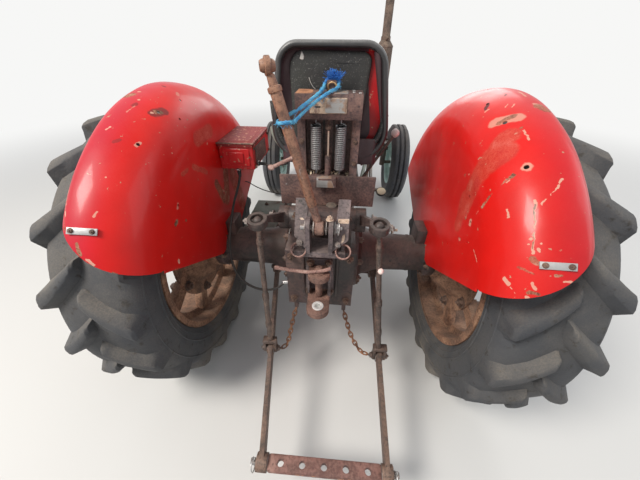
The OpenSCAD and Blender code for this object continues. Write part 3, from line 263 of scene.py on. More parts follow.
def make_corrosion():
    """Rust in three tones, with pits."""
    t, given, out = new_group(
        "corrosion",
        [("Vector", "vector"), ("Scale", "number", 10.0), ("Dark", "colour", (0.04, 0.02, 0.015)),
         ("Middle", "colour", (0.15, 0.06, 0.03)), ("Light", "colour", (0.35, 0.15, 0.06))],
        [("Colour", "colour"), ("Height", "number")])
    broad = t.noise(given["Vector"], given["Scale"], 5.0, 0.6, 0.4)
    fine = t.noise(given["Vector"], t.math("MULTIPLY", given["Scale"], 9.0), 5.0, 0.7)
    low = t.mix(t.step(broad, 0.36, 0.52), given["Dark"], given["Middle"])
    high = t.mix(t.step(broad, 0.52, 0.68), low, given["Light"])
    speckled = t.mix(t.step(fine, 0.42, 0.66), high, given["Light"])
    pitted = t.mix(t.step(fine, 0.36, 0.46, 1.0, 0.0), t.mix(0.45, high, speckled), given["Dark"])
    t.feed(out["Colour"], pitted)
    t.feed(out["Height"], t.math("ADD", t.math("MULTIPLY", broad, 0.5), fine))
    return t.tree


def make_dust():
    """Dust that settles on what faces up, and in ragged clouds elsewhere."""
    t, given, out = new_group(
        "dust",
        [("Vector", "vector"), ("Scale", "number", 6.0), ("Amount", "number", 0.4),
         ("On top", "number", 0.5), ("Below", "number", -1.0), ("Below reach", "number", 0.2)],
        [("Mask", "number")])
    facing = t.node("SeparateXYZ", {0: t.node("NewGeometry").outputs["Normal"]}).outputs[2]
    upward = t.math("MULTIPLY", t.step(facing, 0.1, 0.95), given["On top"])
    cloud = t.noise(given["Vector"], given["Scale"], 6.0, 0.6, 0.5)
    grain = t.noise(given["Vector"], 240.0, 2.0, 0.5)
    height = t.node("SeparateXYZ", {0: given["Vector"]}).outputs[2]
    top = t.math("ADD", given["Below"], given["Below reach"])
    splash = t.math("MULTIPLY", t.step(height, given["Below"], top, 1.0, 0.0), 0.6)
    lying = t.math("ADD", t.math("ADD", upward, given["Amount"]), splash)
    spread = t.math("MULTIPLY", lying, t.step(cloud, 0.3, 0.72, 0.45, 1.35))
    t.feed(out["Mask"], t.math("MULTIPLY", spread, t.step(grain, 0.3, 0.7, 0.75, 1.2), clamp=True))
    return t.tree


def make_grooves():
    """Fine scratches: noise drawn out along one axis of the piece."""
    t, given, out = new_group(
        "fine_scratches",
        [("Vector", "vector"), ("Stretch", "vector", (1.0, 1.0, 0.05)), ("Scale", "number", 200.0)],
        [("Mask", "number")])
    drawn = t.vector("MULTIPLY", given["Vector"], given["Stretch"])
    t.feed(out["Mask"], t.step(t.noise(drawn, given["Scale"], 3.0, 0.6), 0.45, 0.62))
    return t.tree


PATCHES, MARK, CORROSION = make_patches(), make_mark(), make_corrosion()
DUST, SCRATCHES = make_dust(), make_grooves()

DUST_BROWN = (0.17, 0.13, 0.1)
RUST_TONES = ((0.035, 0.016, 0.011), (0.13, 0.052, 0.026), (0.33, 0.135, 0.05))


class Finish(Tree):
    """A material under construction: its colour, roughness, metal and height so far."""

    def __init__(self, name, colour, rough, metal=0.0):
        material = bpy.data.materials.new(name)
        material.use_nodes = True
        super().__init__(material.node_tree)
        self.material = material
        self.shader = material.node_tree.nodes["Principled BSDF"]
        self.place = self.node("TexCoord").outputs["Object"]
        self.colour, self.rough, self.metal = colour, rough, metal
        self.heights = []

    def cover(self, mask, colour, rough=None, metal=None):
        """Lays another colour and finish over the surface where the mask is 1."""
        self.colour = self.mix(mask, self.colour, colour)
        if rough is not None:
            self.rough = self.blend(mask, self.rough, rough)
        if metal is not None:
            self.metal = self.blend(mask, self.metal, metal)
        return self

    def tint(self, scale, low, high, amount=1.0):
        """Slow variation of the colour between two multipliers."""
        cloud = self.step(self.noise(self.place, scale, 3.0), 0.3, 0.7)
        self.colour = self.mix(amount, self.colour, self.mix(cloud, low, high), "MULTIPLY")
        return self

    def patches(self, scale, amount, soft=0.03, detail=6.0):
        return self.use(PATCHES, Vector=self.place, Scale=scale, Amount=amount, Softness=soft,
                        Detail=detail)["Mask"]

    def rust(self, mask, scale=12.0, tones=RUST_TONES, rough=0.85, pits=True):
        skin = self.use(CORROSION, Vector=self.place, Scale=scale, Dark=tones[0],
                        Middle=tones[1], Light=tones[2])
        self.cover(mask, skin["Colour"], rough, 0.0)
        if pits:
            self.heights.append((self.math("MULTIPLY", skin["Height"], mask), 0.0012))
        return self

    def dust(self, amount=0.1, top=0.4, colour=DUST_BROWN, scale=6.0, below=-1.0, reach=0.2):
        mask = self.use(DUST, Vector=self.place, Scale=scale, Amount=amount, On_top=top,
                        Below=below, Below_reach=reach)["Mask"]
        return self.cover(mask, colour, 0.92, 0.0)

    def grain(self, scale, depth, detail=4.0):
        self.heights.append((self.noise(self.place, scale, detail, 0.6), depth))
        return self

    def done(self, **sockets):
        """Links everything to the shader; sockets are plain numbers of the shader's own."""
        self.feed(self.shader.inputs["Base Color"], self.colour)
        self.feed(self.shader.inputs["Roughness"], self.rough)
        self.feed(self.shader.inputs["Metallic"], self.metal)
        normal = None
        for height, depth in self.heights:
            bump = self.node("Bump", {"Height": height, "Distance": depth, "Strength": 1.0})
            if normal is not None:
                self.feed(bump.inputs["Normal"], normal)
            normal = bump.outputs[0]
        if normal is not None:
            self.feed(self.shader.inputs["Normal"], normal)
        for key, value in sockets.items():
            self.feed(self.shader.inputs[key.replace("_", " ")], value)
        return self.material


# Materials
def red_paint(name, base, marks=(), chips=0.12, gloss=0.3, inside=None):
    """Faded red enamel with chips down to primer and rust; marks are worn spots and scratches."""
    f = Finish(name, base, gloss)
    # The inside colour, a brighter red on the inner plate and the start of the bend, is painted light; the
    # fender has one paint.
    if inside:
        across = f.math("ABSOLUTE", f.node("SeparateXYZ", {0: f.place}).outputs[0])
        f.colour = f.mix(f.step(across, 0.5, 0.585), inside, base)
    f.tint(2.2, (0.86, 0.8, 0.8), (1.06, 1.1, 1.1))
    f.tint(14.0, (0.93, 0.9, 0.9), (1.04, 1.05, 1.05), 0.6)
    ragged = f.vector("ADD", f.place, f.vector("SCALE", f.node(
        "TexNoise", {"Vector": f.place, "Scale": 70.0, "Detail": 4.0}).outputs["Color"], 0.012))
    shift = Vector((0.006, 0.006, 0.006))
    worn = {"rust": None, "pale": None, "dark": None}
    for kind, start, end, radius, strength in marks:
        worn[kind] = f.use(MARK, Vector=ragged, From=start + shift, To=end + shift, Radius=radius,
                           Softness=0.35, Strength=strength, Mask=worn[kind] or 0.0)["Mask"]
    if worn["dark"]:
        f.cover(worn["dark"], (0.1, 0.012, 0.012), 0.55)
    if worn["pale"]:
        f.cover(worn["pale"], (0.6, 0.3, 0.22), 0.6)
    if worn["rust"]:
        f.rust(worn["rust"], 30.0, ((0.1, 0.035, 0.02), (0.28, 0.1, 0.05), (0.45, 0.27, 0.19)), pits=False)
    small = f.patches(60.0, chips, 0.012, 3.0)
    f.cover(small, (0.42, 0.2, 0.13), 0.7)
    f.dust(0.02, 0.04, (0.4, 0.22, 0.18), 4.0)
    f.rough = f.math("ADD", f.rough, f.step(f.noise(f.place, 5.0, 4.0), 0.35, 0.7, 0.0, 0.12))
    f.grain(6.0, 0.004, 2.0)
    return f.done(Coat_Weight=0.14, Coat_Roughness=0.12, Specular_IOR_Level=0.22)


def worn_iron(name, dark, middle, light, scale, rough, dust, top, oil=0.0, bare=0.0):
    """Old castings and bars: rusty skin, dust on top, and oil or bare metal where it is rubbed."""
    f = Finish(name, middle, rough)
    f.rust(1.0, scale, (dark, middle, light), rough)
    if oil:
        f.cover(f.patches(5.0, oil, 0.12), (0.012, 0.01, 0.01), 0.32)
    if bare:
        f.cover(f.patches(26.0, bare, 0.04), (0.34, 0.33, 0.33), 0.42, 0.8)
    f.dust(dust, top)
    return f.done()


def tyre_rubber(name, base, dust, side_dust, splash_top):
    f = Finish(name, base, 0.72)
    f.tint(5.0, (0.8, 0.82, 0.86), (1.2, 1.18, 1.16))
    f.cover(f.patches(30.0, 0.2, 0.06), (0.012, 0.012, 0.014), 0.8)
    f.dust(dust, side_dust, (0.2, 0.175, 0.145), 7.0, 0.0, splash_top)
    f.grain(160.0, 0.0009)
    f.grain(22.0, 0.003)
    return f.done(Specular_IOR_Level=0.35)


def plain(name, colour, rough, metal=0.0, dust=0.05, top=0.15, **sockets):
    """A simple finish that still has its own variation, grain and dust."""
    f = Finish(name, colour, rough, metal)
    f.tint(9.0, (0.82, 0.82, 0.82), (1.12, 1.12, 1.12))
    f.rough = f.blend(f.step(f.noise(f.place, 40.0), 0.35, 0.7), rough * 0.85, min(1.0, rough * 1.2))
    f.dust(dust, top)
    f.grain(180.0, 0.0004)
    return f.done(**sockets)


def chipped_paint(name, base, rust_amount, scale=14.0, rough=0.55, dust=0.12, top=0.3):
    """Dull paint with rust showing through in patches."""
    f = Finish(name, base, rough)
    f.tint(8.0, (0.8, 0.8, 0.8), (1.12, 1.12, 1.1))
    f.rust(f.patches(scale, rust_amount, 0.05), 20.0)
    f.dust(dust, top)
    f.grain(90.0, 0.0006)
    return f.done()


BRIGHT_RED = (0.54, 0.01, 0.01)
oily_iron = worn_iron("oily_axle_castings", (0.018, 0.011, 0.013), (0.052, 0.029, 0.03),
    (0.12, 0.066, 0.054), 8.0, 0.5, 0.09, 0.16, oil=0.34)
gear_iron = worn_iron("gearbox_castings", (0.05, 0.042, 0.04), (0.12, 0.1, 0.09), (0.22, 0.17, 0.13), 7.0,
    0.7, 0.2, 0.4, oil=0.25)
engine_paint = worn_iron("engine_castings", (0.07, 0.075, 0.075), (0.17, 0.18, 0.18), (0.28, 0.24, 0.2),
    7.0, 0.6, 0.12, 0.25, oil=0.25)
greasy_steel = worn_iron("greasy_steering_steel", (0.03, 0.026, 0.024), (0.09, 0.075, 0.065),
                         (0.19, 0.13, 0.09), 14.0, 0.5, 0.12, 0.2, oil=0.3)
link_rust = worn_iron("linkage_rust", (0.036, 0.021, 0.017), (0.105, 0.058, 0.042),
                      (0.25, 0.15, 0.105), 16.0, 0.55, 0.07, 0.12, bare=0.06)
top_link_rust = worn_iron("top_link_rust", (0.1, 0.046, 0.03), (0.24, 0.115, 0.07), (0.37, 0.195, 0.12),
    16.0, 0.55, 0.05, 0.08, bare=0.03)
frame_rust = worn_iron("seat_frame_rust", (0.036, 0.021, 0.023), (0.098, 0.054, 0.05), (0.22, 0.125, 0.1),
    15.0, 0.58, 0.09, 0.15, bare=0.08)
chain_rust = worn_iron("chain_rust", (0.09, 0.035, 0.02), (0.26, 0.11, 0.055),
                       (0.42, 0.21, 0.11), 30.0, 0.8, 0.1, 0.2)
rim_rust = worn_iron("rear_rim_rust", (0.085, 0.036, 0.02), (0.23, 0.108, 0.06), (0.4, 0.22, 0.13), 12.0,
    0.8, 0.16, 0.25)
exhaust_rust = worn_iron("exhaust_rust", (0.045, 0.034, 0.028), (0.12, 0.085, 0.066),
                         (0.21, 0.15, 0.11), 18.0, 0.8, 0.05, 0.1)
rear_rubber = tyre_rubber("rear_tyre_rubber", (0.042, 0.047, 0.056), 0.2, 0.32, 0.3)
front_rubber = tyre_rubber("front_tyre_rubber", (0.045, 0.05, 0.062), 0.2, 0.3, 0.2)
teal_paint = chipped_paint("front_rim_paint", (0.42, 0.62, 0.58), 0.12, 20.0, 0.45, 0.06, 0.15)
grey_green = chipped_paint("grey_green_plate", (0.24, 0.28, 0.24), 0.22, 12.0, 0.6, 0.2, 0.4)
radius_rod_paint = chipped_paint("radius_rod_paint", (0.2, 0.25, 0.21), 0.2, 14.0, 0.55)
bonnet_paint = red_paint("bonnet_paint", BRIGHT_RED, chips=0.1)
box_paint = red_paint("lamp_box_paint", (0.56, 0.022, 0.024), chips=0.2, gloss=0.35)
black_rubber = plain("black_rubber", (0.022, 0.022, 0.024), 0.6, dust=0.08, top=0.25)
# Black moulding of the steering wheel; the same black on thin sheets and discs is painted shade in slots,
# notches and the exhaust's open mouth.
black_moulding_and_shade = plain("black_moulding_and_shade", (0.02, 0.02, 0.021), 0.42, dust=0.06, top=0.2)
worn_bright = plain("rubbed_bright_steel", (0.78, 0.77, 0.75), 0.45, 0.6, 0.0, 0.0)
bright_steel = plain("bright_steel", (0.55, 0.54, 0.53), 0.3, 1.0, 0.04, 0.1)
spring_steel = plain("spring_steel", (0.22, 0.225, 0.235), 0.42, 0.7, 0.16, 0.25)
zinc_strip = plain("zinc_strip", (0.42, 0.43, 0.43), 0.42, 0.6, 0.12, 0.1)
brass = plain("worn_bronze", (0.42, 0.26, 0.13), 0.42, 0.8, 0.1, 0.15)
pale_rod = plain("pale_bronze_rod", (0.58, 0.46, 0.37), 0.3, 0.8)
radiator_metal = plain("radiator_metal", (0.06, 0.06, 0.058), 0.6, 0.2, 0.12, 0.2)
knob_pink = plain("faded_pink_knob", (0.8, 0.62, 0.57), 0.45)
lamp_shell = plain("lamp_shell", (0.42, 0.42, 0.4), 0.35, 0.7, 0.1, 0.15)


# Shapes
def aim(axis):
    """The turn that takes Z to the axis."""
    return Vector(axis).to_track_quat("Z", "Y").to_matrix().to_4x4()


def new_object(name, bm):
    """An object of the scene made of a bmesh, which it uses up."""
    mesh = bpy.data.meshes.new(name)
    bm.to_mesh(mesh)
    bm.free()
    made = bpy.data.objects.new(name, mesh)
    scene.collection.objects.link(made)
    return made


def round_edges(piece, width, segments, sharp):
    """Rounds the edges that are sharper than an angle in degrees."""
    edge = piece.modifiers.new("edges", "BEVEL")
    edge.width, edge.segments, edge.limit_method = width, segments, "ANGLE"
    edge.angle_limit = radians(sharp)
    edge.harden_normals = True


def place_piece(name, bm, material, body="chassis", replaces=None, sharp=32, bevel=0.0, segments=2,
        others=()):
    """Makes a piece of a bmesh, smooth up to the sharp angle, and lets it ride on its body."""
    for edge in bm.edges:
        edge.smooth = edge.calc_face_angle(0.0) < radians(sharp)
    for face in bm.faces:
        face.smooth = True
    piece = new_object(name, bm)
    for finish in (material, *others):
        piece.data.materials.append(finish)
    if bevel:
        round_edges(piece, bevel, segments, sharp)
    if body:
        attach(piece, body)
    if replaces:
        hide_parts(replaces)
    return piece


def faces_of(verts):
    return list({face for vert in verts for face in vert.link_faces})


def edges_of(verts):
    return list({edge for vert in verts for edge in vert.link_edges})


def add_rod(bm, start, end, radius, far_radius=None, sides=20):
    """A round bar or a cone between two points."""
    start, end = Vector(start), Vector(end)
    way = end - start
    far_radius = radius if far_radius is None else far_radius
    bmesh.ops.create_cone(bm, cap_ends=True, segments=sides, radius1=radius, radius2=far_radius,
        depth=way.length, matrix=Matrix.Translation((start + end) / 2) @ aim(way))


def add_block(bm, middle, size, turn=Matrix.Identity(4), bevel=0.0):
    """A block of a size at its middle, its edges rounded."""
    matrix = Matrix.Translation(middle) @ turn @ Matrix.Diagonal((*size, 1))
    verts = bmesh.ops.create_cube(bm, size=1.0, matrix=matrix)["verts"]
    if bevel:
        verts = bmesh.ops.bevel(bm, geom=edges_of(verts), offset=bevel, segments=2, profile=0.5,
            affect="EDGES", material=-1)["verts"]
    return verts


def add_lathe(bm, profile, place, axis, steps=64, closed=True):
    """A solid of revolution: profile points are (distance along the axis, radius)."""
    verts = [bm.verts.new((radius, 0, along)) for along, radius in profile]
    pairs = list(zip(verts, verts[1:])) + ([(verts[-1], verts[0])] if closed else [])
    edges = [bm.edges.new(pair) for pair in pairs]
    before = set(bm.verts) - set(verts)
    bmesh.ops.spin(bm, geom=verts + edges, cent=(0, 0, 0), axis=(0, 0, 1), angle=tau, steps=steps,
        use_merge=True, use_duplicate=False)
    made = [v for v in bm.verts if v not in before]
    bmesh.ops.remove_doubles(bm, verts=made, dist=1e-6)
    made = [v for v in bm.verts if v not in before]
    bmesh.ops.recalc_face_normals(bm, faces=faces_of(made))
    bmesh.ops.transform(bm, matrix=Matrix.Translation(place) @ aim(axis), verts=made)
    return made


def add_ring(bm, place, axis, radius, wire, steps=40, sides=12):
    """A ring of round wire."""
    return add_lathe(bm, [(wire * sin(tau * i / sides), radius + wire * cos(tau * i / sides))
        for i in range(sides)], place, axis, steps)


def add_washer(bm, place, axis, hole, outer, thick, steps=32):
    """A flat ring, its lower face at the place."""
    rim = min(thick * 0.3, 0.0012)
    return add_lathe(bm, [(0, hole), (0, outer - rim), (rim, outer), (thick - rim, outer),
                          (thick, outer - rim), (thick, hole)], place, axis, steps)


def add_bolt(bm, place, axis, across, high=None, washer=True):
    """A hexagon head or nut on its washer, with the bolt's end showing."""
    axis = Vector(axis).normalized()
    place = Vector(place)
    high = high or across * 0.62
    base = 0.0
    if washer:
        add_washer(bm, place, axis, across * 0.2, across * 0.78, across * 0.12, 24)
        base = across * 0.12
    foot = place + axis * base
    add_rod(bm, foot, foot + axis * high, across * 0.577, sides=6)
    add_rod(bm, foot + axis * high, foot + axis * (high + across * 0.3), across * 0.27, across * 0.22, 12)


def add_tube(bm, points, radius, sides=12, tension=True):
    """A round tube along a smooth line through the points."""
    line = smooth_line(points) if tension else [Vector(p) for p in points]
    previous, side = None, None
    for i, point in enumerate(line):
        way = (line[min(i + 1, len(line) - 1)] - line[max(i - 1, 0)]).normalized()
        side = way.orthogonal() if side is None else side - way * side.dot(way)
        side.normalize()
        turn = Matrix((side, way.cross(side), way)).transposed().to_4x4()
        ring = bmesh.ops.create_circle(bm, cap_ends=i in (0, len(line) - 1), segments=sides,
                                       radius=radius,
                                       matrix=Matrix.Translation(point) @ turn)["verts"]
        if previous:
            loops = [edge for vert in previous + ring for edge in vert.link_edges
                     if edge.other_vert(vert) in (previous if vert in previous else ring)]
            bmesh.ops.bridge_loops(bm, edges=list(set(loops)))
        previous = ring


def smooth_line(points, pieces=5):
    """Points on a smooth line that passes through the given points."""
    points = [Vector(p) for p in points]
    ends = [2 * points[0] - points[1]] + points + [2 * points[-1] - points[-2]]
    line = []
    for a, b, c, d in zip(ends, ends[1:], ends[2:], ends[3:]):
        for step in range(pieces):
            t = step / pieces
            line.append(0.5 * (2 * b + (c - a) * t + (2 * a - 5 * b + 4 * c - d) * t * t
                               + (3 * b - a - 3 * c + d) * t ** 3))
    return line + [points[-1]]


def add_coil(bm, start, end, radius, wire, turns, sides=8, steps=18):
    """A close coil of round wire between two points."""
    start, end = Vector(start), Vector(end)
    way = end - start
    rise = way.length / (turns * steps)
    ring = bmesh.ops.create_circle(bm, segments=sides, radius=wire,
        matrix=Matrix.Translation((radius, 0, 0)) @ Matrix.Rotation(pi / 2, 4, "X"))["verts"]
    before = set(bm.verts) - set(ring)
    bmesh.ops.spin(bm, geom=ring + edges_of(ring), cent=(0, 0, 0), axis=(0, 0, 1), dvec=(0, 0, rise),
        angle=tau * turns, steps=int(turns * steps), use_merge=False)
    made = [v for v in bm.verts if v not in before]
    ends = [edge for edge in bm.edges if edge.is_boundary and edge.verts[0] in set(made)]
    bmesh.ops.holes_fill(bm, edges=ends, sides=sides)
    bmesh.ops.recalc_face_normals(bm, faces=faces_of(made))
    bmesh.ops.transform(bm, matrix=Matrix.Translation(start) @ aim(way), verts=made)


def add_plate(bm, corners, rounding, segments=8):
    """A flat face with rounded corners."""
    part = bmesh.new()
    verts = [part.verts.new(corner) for corner in corners]
    part.faces.new(verts)
    for vert, radius in zip(verts, rounding):
        if radius:
            bmesh.ops.bevel(part, geom=[vert], offset=radius, segments=segments, profile=0.5,
                            affect="VERTICES", material=-1)
    mesh = bpy.data.meshes.new("plate")
    part.to_mesh(mesh)
    part.free()
    before = set(bm.faces)
    bm.from_mesh(mesh)
    bpy.data.meshes.remove(mesh)
    return next(face for face in bm.faces if face not in before)


def raise_face(bm, face, steps, closed=True):
    """Steps a face in and out: each step is (inwards, along its normal); its base is closed."""
    base = list(face.verts)
    sides = []
    for inwards, along in steps:
        sides.append(bmesh.ops.inset_region(bm, faces=[face], thickness=inwards, depth=along,
                                            use_even_offset=True, use_boundary=True)["faces"])
    if closed:
        edges = [edge for edge in bm.edges if edge.is_boundary and edge.verts[0] in base]
        bmesh.ops.holes_fill(bm, edges=edges, sides=0)
    return sides


def bar_plate(bm, corners, thick, rounding=(0, 0, 0, 0), edge=0.0012):
    """A flat bar: its outline, thickened along its normal, with its edges eased."""
    face = add_plate(bm, corners, rounding, 6)
    return raise_face(bm, face, ((0, thick - edge), (edge, edge)))


# Cords: the routes repeat the solids' own points, in millimetres from the rear axle's place
LAMP_CABLE_D, SEAT_CABLE_D, WIRE_D, TWINE_D = 0.01, 0.008, 0.005, 0.006
LAMP_CABLE_ROUTE = (
    (-373, 60, 940), (-374, 59, 922), (-379, 52, 896), (-389, 36, 862), (-400, 10, 822),
    (-407, -22, 778), (-411, -58, 731), (-410, -95, 685), (-402, -130, 641), (-387, -160, 602),
    (-365, -182, 570), (-337, -196, 545), (-306, -203, 527), (-273, -206, 516), (-240, -205, 512),
    (-208, -202, 516), (-182, -197, 529), (-165, -192, 545), (-153, -190, 552), (-143, -190, 553))
SEAT_CABLE_ROUTE = (
    (-287, 100, 966), (-277, 99, 965), (-262, 94, 964), (-244, 84, 965), (-224, 70, 970),
    (-204, 54, 978), (-186, 38, 988), (-169, 22, 996), (-157, 9, 1004), (-150, 1, 1013),
    (-150, 0, 1023))
WIRE_ROUTE = (
    (-441, 290, 793), (-428, 291, 790), (-402, 297, 770), (-374, 303, 751), (-342, 309, 735),
    (-308, 315, 722), (-274, 320, 714), (-240, 324, 709), (-206, 327, 707), (-174, 329, 709),
    (-148, 330, 714), (-133, 330, 716))
TWINE_ROUTE = (
    (24, -90, 1323), (33, -91, 1312), (38, -94, 1299), (38, -103, 1289), (33, -117, 1282),
    (20, -138, 1279), (2, -160, 1271), (-24, -190, 1257), (-48, -222, 1241), (-71, -279, 1224),
    (-74, -292, 1227), (-84, -301, 1228), (-98, -301, 1226), (-109, -294, 1224),
    (-113, -281, 1224), (-109, -269, 1226), (-99, -261, 1231), (-88, -262, 1238),
    (-66, -244, 1246), (-48, -214, 1256), (-30, -184, 1266), (-16, -158, 1275),
    (-10, -138, 1279), (-5, -116, 1284), (-4, -102, 1291), (4, -92, 1302), (12, -90, 1316))


def lay_cord(name, route, diameter, material, node, with_pieces=()):
    """A cord as one smooth curve along its route."""
    points = at_each(route)
    data = bpy.data.curves.new(name, "CURVE")
    data.dimensions = "3D"
    data.bevel_depth = diameter / 2
    data.bevel_resolution = 4
    data.resolution_u = 6
    data.use_fill_caps = True
    spline = data.splines.new("BEZIER")
    spline.bezier_points.add(len(points) - 1)
    for knot, point in zip(spline.bezier_points, points):
        knot.co = point
        knot.handle_left_type = knot.handle_right_type = "AUTO"
    data.materials.append(material)
    piece = bpy.data.objects.new(name, data)
    scene.collection.objects.link(piece)
    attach(piece, "chassis")
    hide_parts(node)


def twine_finish():
    """Faded blue plastic twine, paler where it frays."""
    f = Finish("blue_twine", (0.06, 0.34, 0.62), 0.55)
    f.cover(f.step(f.noise(f.place, 60.0, 4.0), 0.42, 0.62), (0.15, 0.52, 0.68), 0.6)
    height = f.node("SeparateXYZ", {0: f.place}).outputs[2]
    f.cover(f.step(height, 1.288, 1.306), (0.02, 0.17, 0.62), 0.55)
    # Darker where the strands' height is low: painted shade in the grooves between strands.
    strands = f.noise(f.vector("MULTIPLY", f.place, (1.0, 0.35, 1.0)), 900.0, 2.0)
    f.colour = f.mix(f.step(strands, 0.35, 0.65), f.mix(0.6, f.colour, (0.05, 0.16, 0.34)), f.colour)
    f.heights.append((strands, 0.001))
    return f.done()


twine_blue = twine_finish()


def fray_twine():
    """Strands and loose fibres along the twine, and the tuft of fibres where it ends."""
    chance = random.Random(5)
    bm = bmesh.new()
    line = smooth_line(at_each(TWINE_ROUTE), 4)

    def any_way():
        return Vector((chance.gauss(0, 1), chance.gauss(0, 1), chance.gauss(0, 1)))

    def fibre(start, way, length, thick, droop):
        points = [start]
        turn = any_way() * 0.22
        for step in range(5):
            way = (way + turn * 0.35 + Vector((0, 0, -droop))).normalized()
            points.append(points[-1] + way * length / 5)
        add_tube(bm, points, thick, 4, tension=False)

    for strand in range(8):
        points = []
        for place in range(3, len(line) - 3, 2):
            along = (line[place + 1] - line[place - 1]).normalized()
            turn = Matrix.Rotation(place * 0.42 + strand * tau / 8, 3, along)
            out = turn @ along.orthogonal().normalized()
            points.append(line[place] + out * TWINE_D * (0.52 + chance.uniform(-0.12, 0.22)))
        add_tube(bm, points, 0.0014, 6, tension=False)
    for _ in range(150):
        place = chance.randrange(4, len(line) - 6)
        along = (line[place + 1] - line[place - 1]).normalized()
        out = any_way().normalized()
        way = (along * chance.choice((-1, 1)) * 2.6 + out).normalized()
        fibre(line[place] + out * TWINE_D * 0.6, way, chance.uniform(0.008, 0.022),
            chance.uniform(0.0004, 0.0007), 0.12)
    root = at(22, -92, 1292)
    for _ in range(150):
        way = Vector((chance.gauss(0.06, 0.24), chance.gauss(-0.05, 0.25), 1)).normalized()
        start = root + Vector((chance.uniform(-0.014, 0.014), chance.uniform(-0.006, 0.006), 0))
        fibre(start, way, chance.uniform(0.024, 0.04), chance.uniform(0.0006, 0.0011), 0.05)
    return place_piece("twine_fray", bm, twine_blue)


lay_cord("lamp_cable", LAMP_CABLE_ROUTE, LAMP_CABLE_D, black_rubber,
         "cable_lamp")
lay_cord("seat_cable", SEAT_CABLE_ROUTE, SEAT_CABLE_D, black_rubber,
         "cable_seat")
lay_cord("gearbox_wire", WIRE_ROUTE, WIRE_D, black_rubber,
         "wire")
lay_cord("tied_twine", TWINE_ROUTE, TWINE_D, twine_blue,
         "twine", [fray_twine()])


# Fenders
FENDER_PLATE_X = 0.442
FENDER_CROWN_R = 0.675
FENDER_BEND_R = 0.15
FENDER_EDGE_R = 0.036
FENDER_WIDTH = FENDER_BEND_R + FENDER_EDGE_R
FENDER_REAR, FENDER_FRONT = radians(28), radians(22)
FENDER_CORNER_R = 0.25


def fender_section(across):
    """Distance out from the inner plate, and radius, of the fender's skin; a negative across
    counts down the flat plate from where the bend begins."""
    bend_r = FENDER_CROWN_R - FENDER_BEND_R
    if across < 0:
        return 0.0, bend_r + across
    if across <= FENDER_BEND_R:
        return across, bend_r + sqrt(FENDER_BEND_R ** 2 - (FENDER_BEND_R - across) ** 2)
    edge = min(across - FENDER_BEND_R, FENDER_EDGE_R)
    return across, FENDER_CROWN_R - FENDER_EDGE_R + sqrt(FENDER_EDGE_R ** 2 - edge ** 2)


def on_fender(side, angle, across, lift=0.0):
    """A point on a fender: degrees up from level behind the axle, and millimetres across."""
    out, radius = fender_section(across / 1000)
    a = radians(angle)
    slope = fender_section(across / 1000 + 0.001)
    normal = Vector((-(slope[1] - radius), slope[0] - out)).normalized()
    radius += normal.y * lift
    out += normal.x * lift
    return REAR_AXLE + Vector((side * (FENDER_PLATE_X + out), -radius * cos(a), radius * sin(a)))


def fender_normal(side, angle, across):
    return (on_fender(side, angle, across, 0.01) - on_fender(side, angle, across)).normalized()


